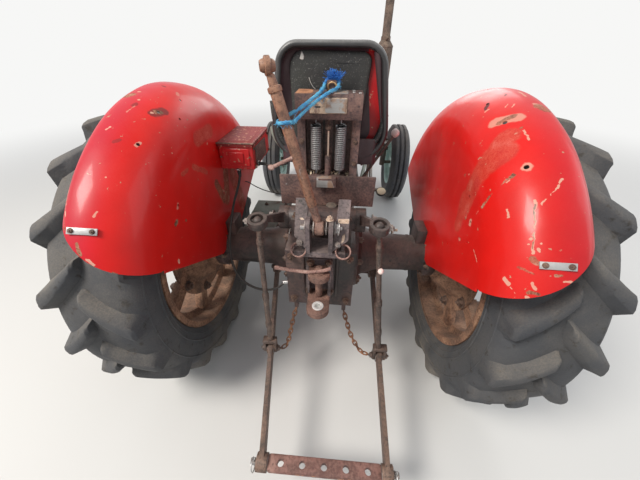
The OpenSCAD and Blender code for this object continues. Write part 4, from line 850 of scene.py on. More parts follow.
# Worn places by kind: degrees and millimetres across where they start and end, radius, strength
FENDER_MARKS = {
    LEFT: {
        "dark": ((76, 50, 73, 62, 17, 0.8), (74, 108, 73, 110, 8, 0.6), (88, 108, 88, 104, 6, 0.8),
            (60, 100, 61, 92, 6, 0.5)),
        "pale": ((73, 66, 73, 66, 5, 1), (80, 134, 80, 136, 6, 0.9), (76, 110, 76, 111, 5, 0.9),
            (63, 130, 64, 126, 4, 0.9), (88, 64, 87, 60, 7, 0.5), (61, 58, 62, 54, 6, 0.8),
            (30, -70, 29, -72, 6, 1), (51, -36, 50, -38, 7, 0.6), (87, -40, 87, -41, 4, 0.9),
            (65, 8, 65, 8, 3, 0.9), (51, 90, 51, 90, 3, 0.9), (42, 96, 43, 92, 4, 0.8),
            (92, -250, 100, -270, 6, 0.8), (49, 178, 42, 164, 3, 1), (33, 104, 32, 92, 3.5, 1),
            (70, 112, 73, 106, 3, 0.5)),
        "rust": ((75, 52, 74, 60, 9, 1), (78, 142, 77, 152, 14, 0.9), (44, -40, 45, -46, 8, 1),
            (47, -92, 47, -94, 5, 0.8), (62, -16, 66, -30, 8, 0.35), (70, -50, 78, -120, 12, 0.35),
            (80, 0, 92, -6, 30, 0.3), (85, -200, 92, -290, 22, 0.85), (104, -180, 100, -300, 34, 0.75),
            (118, -200, 150, -290, 50, 0.55), (48, 180, 39, 158, 3, 1), (36, 126, 34, 118, 6, 1),
            (30, 60, 28, 20, 2.5, 0.9), (27, 0, 27, -80, 2, 0.8)),
    },
    RIGHT: {
        "dark": ((85, 57, 83, 46, 7, 1), (86, 106, 85, 100, 5, 0.8)),
        "pale": ((75, 44, 73, 84, 20, 0.75), (82, 50, 82, 42, 4, 0.8), (77, 138, 76, 146, 8, 0.8),
            (58, 64, 58, 64, 14, 0.8), (68, 66, 66, -10, 3, 0.7), (56, 36, 51, -4, 3, 0.8),
            (50, -38, 49, -42, 8, 0.8), (45, -110, 45, -114, 7, 0.6), (54, 118, 52, 106, 2.8, 1),
            (52, 106, 49, 76, 1.8, 1), (50, 68, 39, 60, 3.4, 1), (42, 56, 42, 56, 3.5, 1),
            (41, 53, 41, 53, 3, 1), (41, 72, 41, 72, 3, 1), (40, 68, 39.5, 69, 3, 1),
            (33, 24, 32, 29, 6, 1), (32, 29, 28, 58, 1.4, 1), (33, 60, 32, 66, 4, 0.9),
            (30, 56, 29, 62, 5, 0.9), (34, 110, 34, 122, 3, 0.9), (40, -26, 36, -4, 1.8, 1),
            (49, 28, 47, 28, 3, 0.9), (65, 82, 68, 80, 4, 0.9), (86, 140, 82, 138, 4, 0.8),
            (79, 96, 78, 88, 2.5, 0.8), (80, 86, 79, 78, 2.5, 0.8)),
        "rust": ((74, 50, 74, 78, 10, 0.8), (76, 140, 74, 152, 14, 0.8), (69, 78, 68, -30, 5, 0.7),
            (68, 52, 60, -24, 34, 0.3), (64, 40, 56, -70, 36, 0.28), (60, -60, 52, -120, 30, 0.26),
            (57, 42, 52, 2, 6, 1), (53, -62, 52, -66, 4, 1), (49, 66, 40, 60, 2, 1),
            (38, 60, 37, 66, 7, 0.8), (31, 58, 31, 70, 5, 0.9), (35, 96, 35, 104, 4, 0.9),
            (36, 40, 35, 60, 3, 0.6)),
    },
}
FENDER_HOLES = {
    LEFT: ((74.5, 56, 5), (61.5, 56, 5), (85.5, 46, 4), (78, 22, 4), (51, -38, 5), (44.5, -42, 4),
           (47, -94, 3)),
    RIGHT: ((73, 58, 6), (58, 64, 6), (85, 56, 4), (58.5, -30, 5), (49.5, -40, 5), (53, -64, 4),
            (45, -112, 5), (42.5, -62, 4), (44.5, -204, 4)),
}
ZINC_STRIPS = {LEFT: (38.8, 115), RIGHT: (36.8, 98)}


def bore(piece, spots):
    """Cuts round holes square through a piece; a spot is (place, axis, radius)."""
    bm = bmesh.new()
    for place, axis, radius in spots:
        add_rod(bm, place - axis * 0.03, place + axis * 0.03, radius, sides=16)
    drill = new_object("drill", bm)
    cut = piece.modifiers.new("holes", "BOOLEAN")
    cut.operation, cut.object, cut.solver = "DIFFERENCE", drill, "EXACT"
    bpy.context.view_layer.update()
    shaped = piece.evaluated_get(bpy.context.evaluated_depsgraph_get())
    done = bpy.data.meshes.new_from_object(shaped)
    piece.modifiers.clear()
    piece.data = done
    bpy.data.meshes.remove(drill.data)


def fender(side, name):
    """Shell fender: flat inner plate, wide bend, crown and a narrow bend at its outer edge."""
    bm = bmesh.new()
    widths = ([-0.443 + 0.0443 * i for i in range(10)] + [FENDER_BEND_R * (1 - cos(radians(6 * i)))
        for i in range(16)] + [FENDER_BEND_R + FENDER_EDGE_R * sin(radians(15 * i)) for i in range(1, 7)])
    profile = [fender_section(w) for w in widths] + [(FENDER_WIDTH, FENDER_CROWN_R - FENDER_EDGE_R - 0.01)]
    verts = [bm.verts.new((side * (FENDER_PLATE_X + out), REAR_AXLE.y - radius, REAR_AXLE.z))
             for out, radius in profile]
    edges = [bm.edges.new(pair) for pair in zip(verts, verts[1:])]
    span = pi + radians(10)
    bmesh.ops.rotate(bm, verts=verts, cent=REAR_AXLE, matrix=Matrix.Rotation(radians(5), 3, "X"))
    bmesh.ops.spin(bm, geom=verts + edges, cent=REAR_AXLE, axis=(-1, 0, 0), angle=span, steps=126)
    lip = FENDER_CROWN_R * sin(FENDER_REAR), FENDER_CROWN_R * cos(FENDER_REAR)
    front = FENDER_CROWN_R * sin(FENDER_FRONT), FENDER_CROWN_R * cos(FENDER_FRONT)
    notch_y, notch_z = 0.112, 0.027
    for start, end in (((-lip[1], lip[0]), (-notch_y, notch_z)), ((-notch_y, notch_z), (notch_y, notch_z)),
                       ((notch_y, notch_z), (front[1], front[0]))):
        low = REAR_AXLE + Vector((0, *start))
        down = Vector((0, end[1] - start[1], -(end[0] - start[0])))
        bmesh.ops.bisect_plane(bm, geom=bm.verts[:] + bm.edges[:] + bm.faces[:], dist=1e-6,
                               plane_co=low, plane_no=down, clear_outer=True)
    # The round outer corner at the rear, as flats along its arc
    radial = Vector((0, -cos(FENDER_REAR), sin(FENDER_REAR)))
    upward = Vector((0, sin(FENDER_REAR), cos(FENDER_REAR)))
    middle_out = FENDER_WIDTH - FENDER_CORNER_R + 0.008
    middle_up = sqrt(FENDER_CORNER_R ** 2 - middle_out ** 2)
    middle = REAR_AXLE + Vector((side * (FENDER_PLATE_X + middle_out), 0, 0)) + upward * middle_up
    for step in range(17):
        turn = radians(16 + 4.4 * step)
        away = Vector((side * sin(turn), 0, 0)) - upward * cos(turn)
        faces = [f for f in bm.faces if (f.calc_center_median() - REAR_AXLE).dot(radial) > 0.45
                 and abs(f.calc_center_median().x) > FENDER_PLATE_X + 0.002]
        geom = list({v for f in faces for v in f.verts}) + list({e for f in faces for e in f.edges}) + faces
        bmesh.ops.bisect_plane(bm, geom=geom, dist=1e-6, plane_co=middle + away * FENDER_CORNER_R,
                               plane_no=away, clear_outer=True)
    for vert in bm.verts:
        away = vert.co - REAR_AXLE
        wave = (sin(vert.co.y * 9 + side) * sin(vert.co.z * 8 + 1)
                + 0.5 * sin(vert.co.y * 23 + vert.co.x * 17) * sin(vert.co.z * 19))
        vert.co += Vector((side * 0.3, away.y, away.z)).normalized() * wave * 0.0011
    bmesh.ops.recalc_face_normals(bm, faces=bm.faces[:])
    middle_face = max(bm.faces, key=lambda f: f.calc_center_median().z)
    if middle_face.normal.z < 0:
        bmesh.ops.reverse_faces(bm, faces=bm.faces[:])
    bmesh.ops.solidify(bm, geom=bm.faces[:], thickness=0.0035)
    marks = [(kind, on_fender(side, a, b), on_fender(side, c, d), radius / 1000, strength)
             for kind, spots in FENDER_MARKS[side].items()
             for a, b, c, d, radius, strength in spots]
    base = (0.44, 0.004, 0.02) if side == LEFT else (0.52, 0.006, 0.012)
    # The brighter red given for the inner plates is painted light.
    skin = red_paint(name + "_paint", base, marks, 0.04, 0.32, inside=(0.6, 0.005, 0.003))
    piece = place_piece(name + "_skin", bm, skin, replaces=name, sharp=50)
    bore(piece, [(on_fender(side, a, c), fender_normal(side, a, c), r / 1000)
                 for a, c, r in FENDER_HOLES[side]])
    # Zinc strip with two bolts near the outer edge
    angle, across = ZINC_STRIPS[side]
    place, normal = on_fender(side, angle, across, 0.002), fender_normal(side, angle, across)
    along = (on_fender(side, angle, across + 24) - on_fender(side, angle, across - 24)).normalized()
    turn = Matrix((along, normal.cross(along), normal)).transposed().to_4x4()
    bm = bmesh.new()
    add_block(bm, place, (0.066, 0.017, 0.004), turn, 0.001)
    place_piece(name + "_strip", bm, zinc_strip)
    bm = bmesh.new()
    for shift in (-0.022, 0.024):
        add_bolt(bm, place + along * shift + normal * 0.001, normal, 0.009, 0.004)
    place_piece(name + "_strip_bolts", bm, link_rust)
    # Bolts that hold the plate to its bracket on the axle
    bm = bmesh.new()
    for y, z in ((-12, 672), (42, 672), (-12, 720), (42, 720)):
        add_bolt(bm, at(side * 442, y, z) + X * side * 0.004, X * side, 0.018)
    place_piece(name + "_bolts", bm, oily_iron)


for side, word in SIDES:
    fender(side, "fender_" + word)


# Tyres
REAR_TRACK_X = joint_place("rear_wheel_right_spin").x
FRONT_TRACK_X = joint_place("front_wheel_right_spin").x
LUG_COUNT = 18
LUG_CREST = 0.6
LUG_RUN = 0.132
CASING = mm((-104, 375.5), (-110, 396), (-122, 408), (-133, 431), (-138.5, 455), (-140, 480), (-139.5, 505),
    (-137, 525), (-128, 541), (-104, 559), (-60, 566), (0, 567))


def both_sides(profile):
    """A profile given up to its middle, with its other half."""
    return list(profile) + [(-x, r) for x, r in reversed(profile[:-1])]


def casing_radius(across):
    for (x0, r0), (x1, r1) in zip(CASING[4:], CASING[5:]):
        if x0 <= -abs(across) <= x1 or x1 <= -abs(across) <= x0:
            return r0 + (r1 - r0) * (-abs(across) - x0) / (x1 - x0)
    return CASING[4][1]


def add_lug(bm, place, half, start, chance):
    """One worn bar of the tread: blunt at the middle, broad at the shoulder, down to the side."""
    verts = bmesh.ops.create_grid(bm, x_segments=12, y_segments=4, size=0.5)["verts"]
    faces = faces_of(verts)
    walls = bmesh.ops.extrude_face_region(bm, geom=faces)
    top = [v for v in walls["geom"] if isinstance(v, bmesh.types.BMVert)]
    worn = chance.uniform(0.0, 0.004)
    for group, is_top in ((verts, False), (top, True)):
        for vert in group:
            along, wide = vert.co.x + 0.5, vert.co.y
            ends = max(0.0, abs(2 * along - 1) - 0.82) / 0.18
            width = (0.047 + 0.016 * along) * (1 - 0.3 * ends ** 2)
            across = -0.006 + 0.146 * along
            turn = start - (LUG_RUN * min(along, 0.97) + 0.01 * sin(pi * along)) / 0.59
            crest = LUG_CREST - 0.001 - 0.011 * along ** 2.4 - worn
            if is_top:
                turn += wide * width * 0.78 / 0.59
                radius = crest - 0.004 * (2 * abs(wide)) ** 4 - 0.007 * ends ** 2
                across += 0.004 * (1 - 2 * along) * ends
            else:
                turn += wide * width * 1.75 / 0.57
                radius = casing_radius(min(across, 0.136)) - 0.008
                radius -= 0.03 * max(0.0, along - 0.93) / 0.07
            vert.co = Vector((half * across, -radius * cos(turn), radius * sin(turn)))
    bmesh.ops.delete(bm, geom=[f for f in faces if f.is_valid], context="FACES_ONLY")
    made = verts + top
    shell = faces_of(made)
    bmesh.ops.recalc_face_normals(bm, faces=shell)
    outer = max(shell, key=lambda f: f.calc_center_median().yz.length)
    middle = outer.calc_center_median()
    if outer.normal.dot(Vector((0, middle.y, middle.z))) < 0:
        bmesh.ops.reverse_faces(bm, faces=shell)
    bmesh.ops.translate(bm, verts=made, vec=place)


def rear_tyre(side, word):
    """Worn farm tyre with angled bars that meet in a chevron."""
    place = REAR_AXLE + X * side * REAR_TRACK_X
    bm = bmesh.new()
    add_lathe(bm, both_sides(CASING), place, X, 120)
    pitch = tau / LUG_COUNT
    chance = random.Random(8 + side)
    for i in range(LUG_COUNT):
        add_lug(bm, place, 1, pitch * i, chance)
        add_lug(bm, place, -1, pitch * (i + 0.5), chance)
    for face_x in (-1, 1):
        for radius, proud in ((0.421, 0.0035), (0.447, 0.0025), (0.512, 0.003)):
            out = 0.1405 if radius > 0.44 else 0.129
            add_lathe(bm, [(-0.004, radius - 0.005), (proud, radius - 0.002), (proud, radius + 0.002),
                           (-0.004, radius + 0.005)], place + X * face_x * (out - 0.002),
                      X * face_x, 96)
    place_piece("rear_tyre_tread_" + word, bm, rear_rubber, "rear_wheel_" + word,
        "rear_tyre_" + word, sharp=38, bevel=0.005, segments=3)


FRONT_CASING = mm((-51, 202.3), (-57, 220.3), (-66, 232), (-78, 258), (-82.5, 290), (-79, 318), (-72, 336),
    (-62, 348), (-55, 362.5), (-50, 365), (-32, 366), (-29, 363), (-26, 352), (-20, 350), (-15, 353),
    (-12, 365), (-9, 367.5), (0, 367.5))


def front_tyre(side, word):
    """Narrow steering tyre with three ribs round it."""
    place = FRONT_AXLE + X * side * FRONT_TRACK_X
    bm = bmesh.new()
    add_lathe(bm, both_sides(FRONT_CASING), place, X, 96)
    for face_x in (-1, 1):
        for radius in (0.247, 0.309):
            out = 0.0735 if radius < 0.26 else 0.0815
            add_lathe(bm, [(-0.004, radius - 0.004), (0.0015, radius - 0.0015),
                           (0.0015, radius + 0.0015), (-0.004, radius + 0.004)],
                      place + X * face_x * out, X * face_x, 72)
    place_piece("front_tyre_ribs_" + word, bm, front_rubber, "front_wheel_" + word,
        "front_tyre_" + word, sharp=28, bevel=0.0015)


for side, word in SIDES:
    rear_tyre(side, word)
    front_tyre(side, word)


# Seat
SEAT_X = 12
SEAT_FRONT = -14
SEAT_LOW_Z, SEAT_TOP_Z = 1045, 1398
PAN_Z = 1036
DARK_AND_SHADED_WALL, RED_WALL = 1, 2


def seat_black():
    f = Finish("seat_shell_black", (0.02, 0.02, 0.021), 0.38)
    f.tint(9.0, (0.7, 0.7, 0.72), (1.4, 1.4, 1.4))
    f.cover(f.patches(9.0, 0.3, 0.1), (0.055, 0.052, 0.05), 0.6)
    f.cover(f.patches(36.0, 0.1, 0.02), (0.16, 0.15, 0.145), 0.6)
    # Pale grey on upward faces: dust, and also a painted highlight along the rim's top edge.
    f.dust(0.02, 0.34, (0.4, 0.39, 0.38))
    f.grain(200.0, 0.0003)
    return f.done(Coat_Weight=0.2, Coat_Roughness=0.3)


def seat_vinyl():
    """Old black vinyl: fine grain, creases, grey dust and pale specks."""
    f = Finish("seat_vinyl", (0.014, 0.014, 0.015), 0.5)
    f.cover(f.patches(5.0, 0.42, 0.14), (0.036, 0.038, 0.034), 0.75)
    speck = f.step(f.noise(f.place, 260.0, 2.0), 0.62, 0.7)
    f.cover(f.math("MULTIPLY", speck, 0.6), (0.22, 0.22, 0.2), 0.8)
    f.cover(f.patches(70.0, 0.1, 0.015), (0.16, 0.155, 0.15), 0.8)
    f.dust(0.03, 0.18, (0.2, 0.185, 0.17))
    f.heights.append((f.node("TexVoronoi", {"Vector": f.place, "Scale": 420.0}).outputs[0], 0.0004))
    f.grain(24.0, 0.0025)
    return f.done()


seat_shell_black = seat_black()
seat_cover_vinyl = seat_vinyl()
seat_red = red_paint("seat_red_inside", (0.42, 0.012, 0.016), chips=0.16, gloss=0.35)
# Dark purple-red: painted shade on the seat shell's left and top inner walls and down its right edge, and
# the pan's own dark finish.
seat_dark_and_shade = plain("seat_dark_and_shade", (0.045, 0.02, 0.026), 0.5, dust=0.06, top=0.2)
pale_tear = plain("torn_lining", (0.62, 0.6, 0.56), 0.9)


PUFF_VOXEL = 0.006
PUFF_PRESSURE = 4.0
PUFF_FRAMES = 20


def puff(piece, cap):
    """Swells a closed form as cloth under pressure; no point moves further than the cap."""
    remesh = piece.modifiers.new("even_mesh", "REMESH")
    remesh.mode, remesh.voxel_size = "VOXEL", PUFF_VOXEL
    bpy.context.view_layer.update()
    graph = bpy.context.evaluated_depsgraph_get()
    mesh = bpy.data.meshes.new_from_object(piece.evaluated_get(graph))
    piece.modifiers.clear()
    piece.data = mesh
    for face in mesh.polygons:
        face.use_smooth = True
    rest = [v.co.copy() for v in mesh.vertices]
    cloth = piece.modifiers.new("cloth", "CLOTH")
    cloth.settings.use_pressure = True
    cloth.settings.uniform_pressure_force = PUFF_PRESSURE
    cloth.settings.effector_weights.gravity = 0
    for frame in range(1, PUFF_FRAMES + 1):
        scene.frame_set(frame)
    swollen = piece.evaluated_get(bpy.context.evaluated_depsgraph_get()).data
    for vert, old, new in zip(mesh.vertices, rest, [v.co.copy() for v in swollen.vertices]):
        move = new - old
        vert.co = old + (move.normalized() * cap if move.length > cap else move)
    piece.modifiers.clear()
    scene.frame_set(1)
    smooth = piece.modifiers.new("smooth", "SUBSURF")
    smooth.levels = smooth.render_levels = 1


def seat_corners(inset, y, low=0.0):
    """The corners of the seat back's outline; low raises its bottom edge."""
    return [at(SEAT_X + x, y, z) for x, z in ((-213 + inset, SEAT_LOW_Z + inset + low),
        (213 - inset, SEAT_LOW_Z + inset + low), (162 - inset * 0.86, SEAT_TOP_Z - inset),
        (-162 + inset * 0.86, SEAT_TOP_Z - inset))]


def seat_back():
    bm = bmesh.new()
    face = add_plate(bm, seat_corners(0, SEAT_FRONT), (0.121, 0.121, 0.0605, 0.0605), 14)
    rings = raise_face(bm, face, ((0, 0.034), (0.0012, 0.005), (0.003, 0.0035), (0.004, 0.0025),
        (0.005, 0.0), (0.0035, -0.002), (0.002, -0.003), (0.001, -0.005), (0.001, -0.012), (0.008, -0.008),
        (0.03, -0.003)), False)
    face.material_index = DARK_AND_SHADED_WALL
    # Only the lower right wall shows the shell's red; the left and top walls take the dark finish as
    # painted shade.
    for ring in rings[-3:]:
        for wall in ring:
            middle = wall.calc_center_median()
            right_side = middle.x > 0.11 and 1.1 < middle.z < 1.372
            wall.material_index = RED_WALL if right_side else DARK_AND_SHADED_WALL
    place_piece("seat_back_shell", bm, seat_shell_black, replaces="seat_shell",
        sharp=60, others=(seat_dark_and_shade, seat_red))


def seat_panel():
    """The dark rear face of the back's upholstery, with its crease, tear and lower roll."""
    bm = bmesh.new()
    raise_face(bm, add_plate(bm, at_each(((-112, -33, 1090), (112, -33, 1074), (137, -33, 1368),
        (-118, -33, 1374))), (0.03, 0.03, 0.03, 0.05), 8), ((0.0005, 0.002), (0.003, 0.003),
        (0.006, 0.0015), (0.02, -0.001)), False)
    bmesh.ops.subdivide_edges(bm, edges=[e for e in bm.edges if e.calc_length() > 0.05], cuts=6,
                              use_grid_fill=True)
    for vert in bm.verts:
        x, z = vert.co.x * 1000, vert.co.z * 1000
        vert.co.y += 0.0018 * sin(z * 0.045 + x * 0.02) * sin(x * 0.031)
    place_piece("seat_back_panel", bm, seat_cover_vinyl, sharp=60)
    # Torn spot that shows its pale lining, and the thread that hangs from it
    bm = bmesh.new()
    raise_face(bm, add_plate(bm, at_each(((-84, -40, 1349), (-72, -40, 1347), (-70, -40, 1357),
        (-77, -40, 1371))), (0.003,) * 4, 3), ((0.001, 0.0012),), False)
    place_piece("seat_back_tear", bm, pale_tear)
    bm = bmesh.new()
    add_tube(bm, at_each(((-56, -40, 1302), (-52, -41, 1290), (-44, -41, 1277), (-36, -40, 1270))), 0.0008,
        6)
    place_piece("seat_back_thread", bm, pale_tear)
    # Roll of the upholstery along the lower edge, outside left and inside right
    bm = bmesh.new()
    add_tube(bm, at_each(((-176, -42, 1235), (-172, -46, 1180), (-160, -48, 1130), (-138, -48, 1096),
        (-100, -46, 1076), (-40, -44, 1068), (30, -44, 1066), (90, -45, 1072), (134, -46, 1086),
        (166, -46, 1110), (186, -44, 1150), (194, -42, 1200))), 0.011, 14)
    place_piece("seat_lower_roll", bm, seat_cover_vinyl, sharp=60)
    bm = bmesh.new()
    add_tube(bm, at_each(((-190, -26, 1150), (-182, -30, 1120), (-166, -32, 1092), (-140, -32, 1070))),
        0.01, 14)
    place_piece("seat_lower_strip", bm, grey_green, sharp=60)
    # Dark cone that widens upwards along the right inner edge: painted shadow over the top of the red wall
    bm = bmesh.new()
    add_rod(bm, at(183, -45, 1175), at(149, -43, 1372), 0.003, 0.0125)
    place_piece("seat_right_painted_shadow", bm, seat_dark_and_shade, sharp=60)


def seat_pan():
    bm = bmesh.new()
    raise_face(bm, add_plate(bm, [at(SEAT_X + x, y, PAN_Z) for x, y in ((-168, -59), (168, -59), (160, 298),
        (-160, 298))], (0.02, 0.02, 0.07, 0.07), 8), ((0, 0.084), (0.002, 0.004), (0.004, 0.001),
        (0.004, -0.002), (0.001, -0.072)))
    rear, front = at(0, 150, 0).y, at(0, 298, 0).y
    for vert in bm.verts:
        part = min(1.0, max(0.0, (vert.co.y - rear) / (front - rear)))
        low = PAN_Z / 1000 + 0.014
        if vert.co.z > low:
            vert.co.z = low + (vert.co.z - low) * (1 - 0.88 * part ** 0.7)
    place_piece("seat_pan", bm, seat_dark_and_shade, sharp=50)
    bm = bmesh.new()
    for x in (-110, 134):
        for y in (-20, 90):
            add_bolt(bm, at(x, y, PAN_Z), -Z, 0.017)
    add_rod(bm, at(-150, 0, PAN_Z), at(-150, 0, PAN_Z - 10), 0.007)
    place_piece("seat_pan_bolts", bm, link_rust)


def seat_cushions():
    bm = bmesh.new()
    raise_face(bm, add_plate(bm, [at(SEAT_X + x, y, 1054)
        for x, y in ((-138, 30), (138, 30), (132, 280), (-132, 280))], (0.03, 0.03, 0.06, 0.06), 8),
        ((0, 0.03), (0.006, 0.008), (0.016, 0.005), (0.03, 0.002)))
    cushion = place_piece("seat_cushion", bm, seat_cover_vinyl, replaces="seat_pad", sharp=60)
    puff(cushion, 0.009)
    bm = bmesh.new()
    raise_face(bm, add_plate(bm, list(reversed([p + Y * 0.0455 for p in seat_corners(14, SEAT_FRONT, 88)])),
        (0.05, 0.05, 0.03, 0.03), 8), ((0, 0.01), (0.005, 0.006), (0.014, 0.003), (0.03, 0.001)))
    bmesh.ops.translate(bm, verts=bm.verts, vec=-Y * 0.0425)
    pad = place_piece("seat_back_pad", bm, seat_cover_vinyl, sharp=60)
    puff(pad, 0.006)
    # Piping round the cushion's crown
    bm = bmesh.new()
    ring = [at(SEAT_X + x, y, 1088) for x, y in ((-146, 60), (-144, 200), (-138, 256), (-104, 288),
        (0, 290), (104, 288), (138, 256), (144, 200), (146, 60), (136, 24), (0, 21), (-136, 24),
        (-146, 60))]
    add_tube(bm, ring, 0.0032, 8)
    place_piece("cushion_piping", bm, black_rubber, sharp=60)


seat_back()
seat_panel()
seat_pan()
seat_cushions()


# Seat suspension: the frame's details, coil springs and damper
CHANNEL_REAR_Y = -144
FRAME_TOP_Z = 1272
SPRING_Y = -112
LEDGE_Z = 1015


def streaked_steel():
    """Bare steel rubbed bright in streaks."""
    f = Finish("rubbed_bare_steel", (0.36, 0.35, 0.34), 0.38, 0.85)
    f.cover(f.patches(20.0, 0.4, 0.06), (0.3, 0.19, 0.13), 0.7, 0.0)
    f.heights.append((f.use(SCRATCHES, Vector=f.place, Stretch=(0.06, 1.0, 1.0))["Mask"], 0.0003))
    f.dust(0.05, 0.1)
    return f.done()


rubbed_steel = streaked_steel()
beige_plate = worn_iron("beige_plate", (0.16, 0.1, 0.075), (0.4, 0.29, 0.21), (0.56, 0.44, 0.33), 18.0, 0.6,
    0.1, 0.2)
orange_rust = worn_iron("fresh_orange_rust", (0.22, 0.08, 0.035), (0.42, 0.175, 0.082), (0.56, 0.3, 0.17),
    30.0, 0.75, 0.05, 0.1)
straw = plain("dry_leaf_chips", (0.62, 0.5, 0.36), 0.9)
worn_dark = worn_iron("dark_guides", (0.012, 0.01, 0.01), (0.03, 0.024, 0.022), (0.09, 0.055, 0.04), 14.0,
    0.6, 0.06, 0.15)


def frame_details():
    rear, top = CHANNEL_REAR_Y, FRAME_TOP_Z
    # Plates that lie on the channel
    for name, material, corners, thick, rounding, edge in (
            ("channel_plate", beige_plate,
             upright(rear, ((-44, 1219), (66, 1219), (66, 1262), (-44, 1262))),
             0.003, (0.002,) * 4, 0.0012),
            ("channel_bare_streak", rubbed_steel,
             upright(rear - 3, ((0, 1222), (62, 1222), (62, 1260), (8, 1260))),
             0.0012, (0.008, 0.002, 0.002, 0.012), 0.0004),
            # A thin black plate stands for a slot: painted shade in the hole.
            ("channel_slot", black_moulding_and_shade,
             upright(rear - 3.2, ((-30, 1236), (-12, 1236), (-12, 1240), (-30, 1240))),
             0.0008, (0.0015,) * 4, 0.0003),
            ("channel_top_bare", rubbed_steel,
             level(top, ((26, -142), (68, -142), (68, -70), (30, -70))),
             0.0012, (0.006,) * 4, 0.0004),
            ("channel_top_rust", orange_rust,
             level(top, ((-86, -142), (-34, -142), (-40, -62), (-86, -62))),
             0.001, (0.004, 0.02, 0.02, 0.004), 0.0004)):
        bm = bmesh.new()
        bar_plate(bm, corners, thick, rounding, edge)
        place_piece(name, bm, material)
    bm = bmesh.new()
    for x, y in ((84, -118), (102, -128), (84, -84)):
        add_rod(bm, at(x, y, FRAME_TOP_Z), at(x, y, FRAME_TOP_Z + 3), 0.0055, sides=16)
    place_piece("channel_screws", bm, bright_steel, bevel=0.0008)
    bm = bmesh.new()
    for x in (-76, 100):
        for z in (1060, 1130):
            add_bolt(bm, at(x, -118, z), -Y, 0.011, 0.005)
    place_piece("post_bolts", bm, link_rust, bevel=0.0008)
    # Ring round the tab on top of the channel
    bm = bmesh.new()
    add_ring(bm, at(20, -108, 1285), (0.2, 1, 0.2), 0.0125, 0.0025)
    place_piece("tab_ring", bm, brass)
    # Guide channels inside the posts
    bm = bmesh.new()
    for x, face_x in ((-74, 1), (98, -1)):
        for y in (-112, -80):
            add_block(bm, at(x + face_x * 4, y, 1120), (0.01, 0.005, 0.17), bevel=0.001)
    for x in (-30, -4, 28, 54):
        add_block(bm, at(x, -75, 1110), (0.006, 0.016, 0.18), bevel=0.001)
    place_piece("spring_guides", bm, worn_dark)


def springs():
    bm = bmesh.new()
    for x in (-28, 52):
        foot, head = at(x, SPRING_Y, 1038), at(x, SPRING_Y, 1178)
        add_coil(bm, foot, head, 0.0148, 0.0031, 23)
        for end, way in ((head, 1), (foot, -1)):
            reach = 0.022 if way > 0 else 0.018
            add_tube(bm, [end + X * 0.0148, end + X * 0.01 + Z * way * 0.005, end + Z * way * 0.008,
                end + Z * way * reach * 0.7, end + Z * way * reach], 0.0028, 10)
    place_piece("seat_coil_springs", bm, spring_steel, replaces="seat_springs", sharp=70)
    bm = bmesh.new()
    axis = at(SEAT_X, SPRING_Y, 0)
    add_lathe(bm, mm((1014, 0), (1014, 10.5), (1076, 10.5), (1078, 9.5), (1082, 9.5), (1083, 0)),
        Vector((axis.x, axis.y, 0)), Z, 32, False)
    place_piece("damper_tube", bm, frame_rust, sharp=40)
    bm = bmesh.new()
    add_rod(bm, axis + Z * 1.08, axis + Z * 1.166, 0.0038)
    place_piece("damper_rod", bm, pale_rod)
    bm = bmesh.new()
    add_lathe(bm, mm((-6, 0), (-6, 9), (6, 9), (6, 0)), axis + Z * 1.175 - Y * 0.004, Y, 24, False)
    add_bolt(bm, axis + Z * 1.175 - Y * 0.01, -Y, 0.013, 0.005)
    add_rod(bm, axis + Z * 1.184, axis + Z * 1.2, 0.0045)
    place_piece("damper_eye", bm, link_rust, sharp=40)


def leaf_litter():
    """Dry chips that lie on the ledge behind the springs."""
    chance = random.Random(11)
    bm = bmesh.new()
    for _ in range(64):
        x, y = chance.uniform(-70, 92), chance.uniform(-112, -84)
        spot = at(x, y, LEDGE_Z + chance.uniform(-2, 7))
        turn = (Matrix.Rotation(chance.uniform(0, pi), 4, "Z")
                @ Matrix.Rotation(chance.gauss(0, 0.5), 4, "X")
                @ Matrix.Rotation(chance.gauss(0, 0.5), 4, "Y"))
        size = (chance.uniform(0.004, 0.013), chance.uniform(0.003, 0.007), 0.0008)
        add_block(bm, spot, size, turn)
    place_piece("leaf_litter", bm, straw)


frame_details()
springs()
leaf_litter()


# Bright block bolted on the cross plate
def plate_block():
    bm = bmesh.new()
    verts = add_block(bm, at(7, -141, 1000), (0.062, 0.022, 0.034))
    top = [v for v in verts if v.co.z > 1.0]
    for vert in top:
        if vert.co.x > 0:
            vert.co.x -= 0.012
        vert.co.y += 0.004
    bmesh.ops.bevel(bm, geom=bm.edges[:], offset=0.0018, segments=2, profile=0.5, affect="EDGES",
                    material=-1)
    place_piece("cross_plate_block", bm, rubbed_steel)


plate_block()


# Hitch: bars with their rings, the top link's ears, and the clevis with its pin
BAR_TOP, BAR_WAY = Vector((0, -262, 960)), Vector((0, -0.565, -0.825))
BAR_OUT = Vector((0, -0.825, 0.565))

bar_steel = worn_iron("bar_steel", (0.04, 0.03, 0.034), (0.105, 0.08, 0.086), (0.23, 0.17, 0.165), 14.0,
    0.5, 0.1, 0.2, bare=0.06)
tan_patch = worn_iron("tan_patch", (0.36, 0.22, 0.15), (0.58, 0.42, 0.31), (0.7, 0.56, 0.44), 40.0, 0.75,
    0.05, 0.1)
clevis_rust = worn_iron("clevis_rust", (0.052, 0.026, 0.021), (0.15, 0.076, 0.058), (0.28, 0.155, 0.115),
    20.0, 0.6, 0.06, 0.08, bare=0.03)
handle_rust = worn_iron("handle_rust", (0.12, 0.05, 0.042), (0.33, 0.17, 0.14), (0.5, 0.33, 0.28), 30.0,
    0.6, 0.06, 0.12)
streaky_steel = worn_iron("streaky_steel", (0.08, 0.05, 0.04), (0.24, 0.19, 0.17), (0.45, 0.4, 0.37), 40.0,
    0.42, 0.08, 0.15, bare=0.35)


def on_bar(x, down, out=0.0):
    """A point on the slanting bars: across, down along them and out from their face."""
    p = BAR_TOP + BAR_WAY * down + BAR_OUT * out
    return at(x, p.y, p.z)


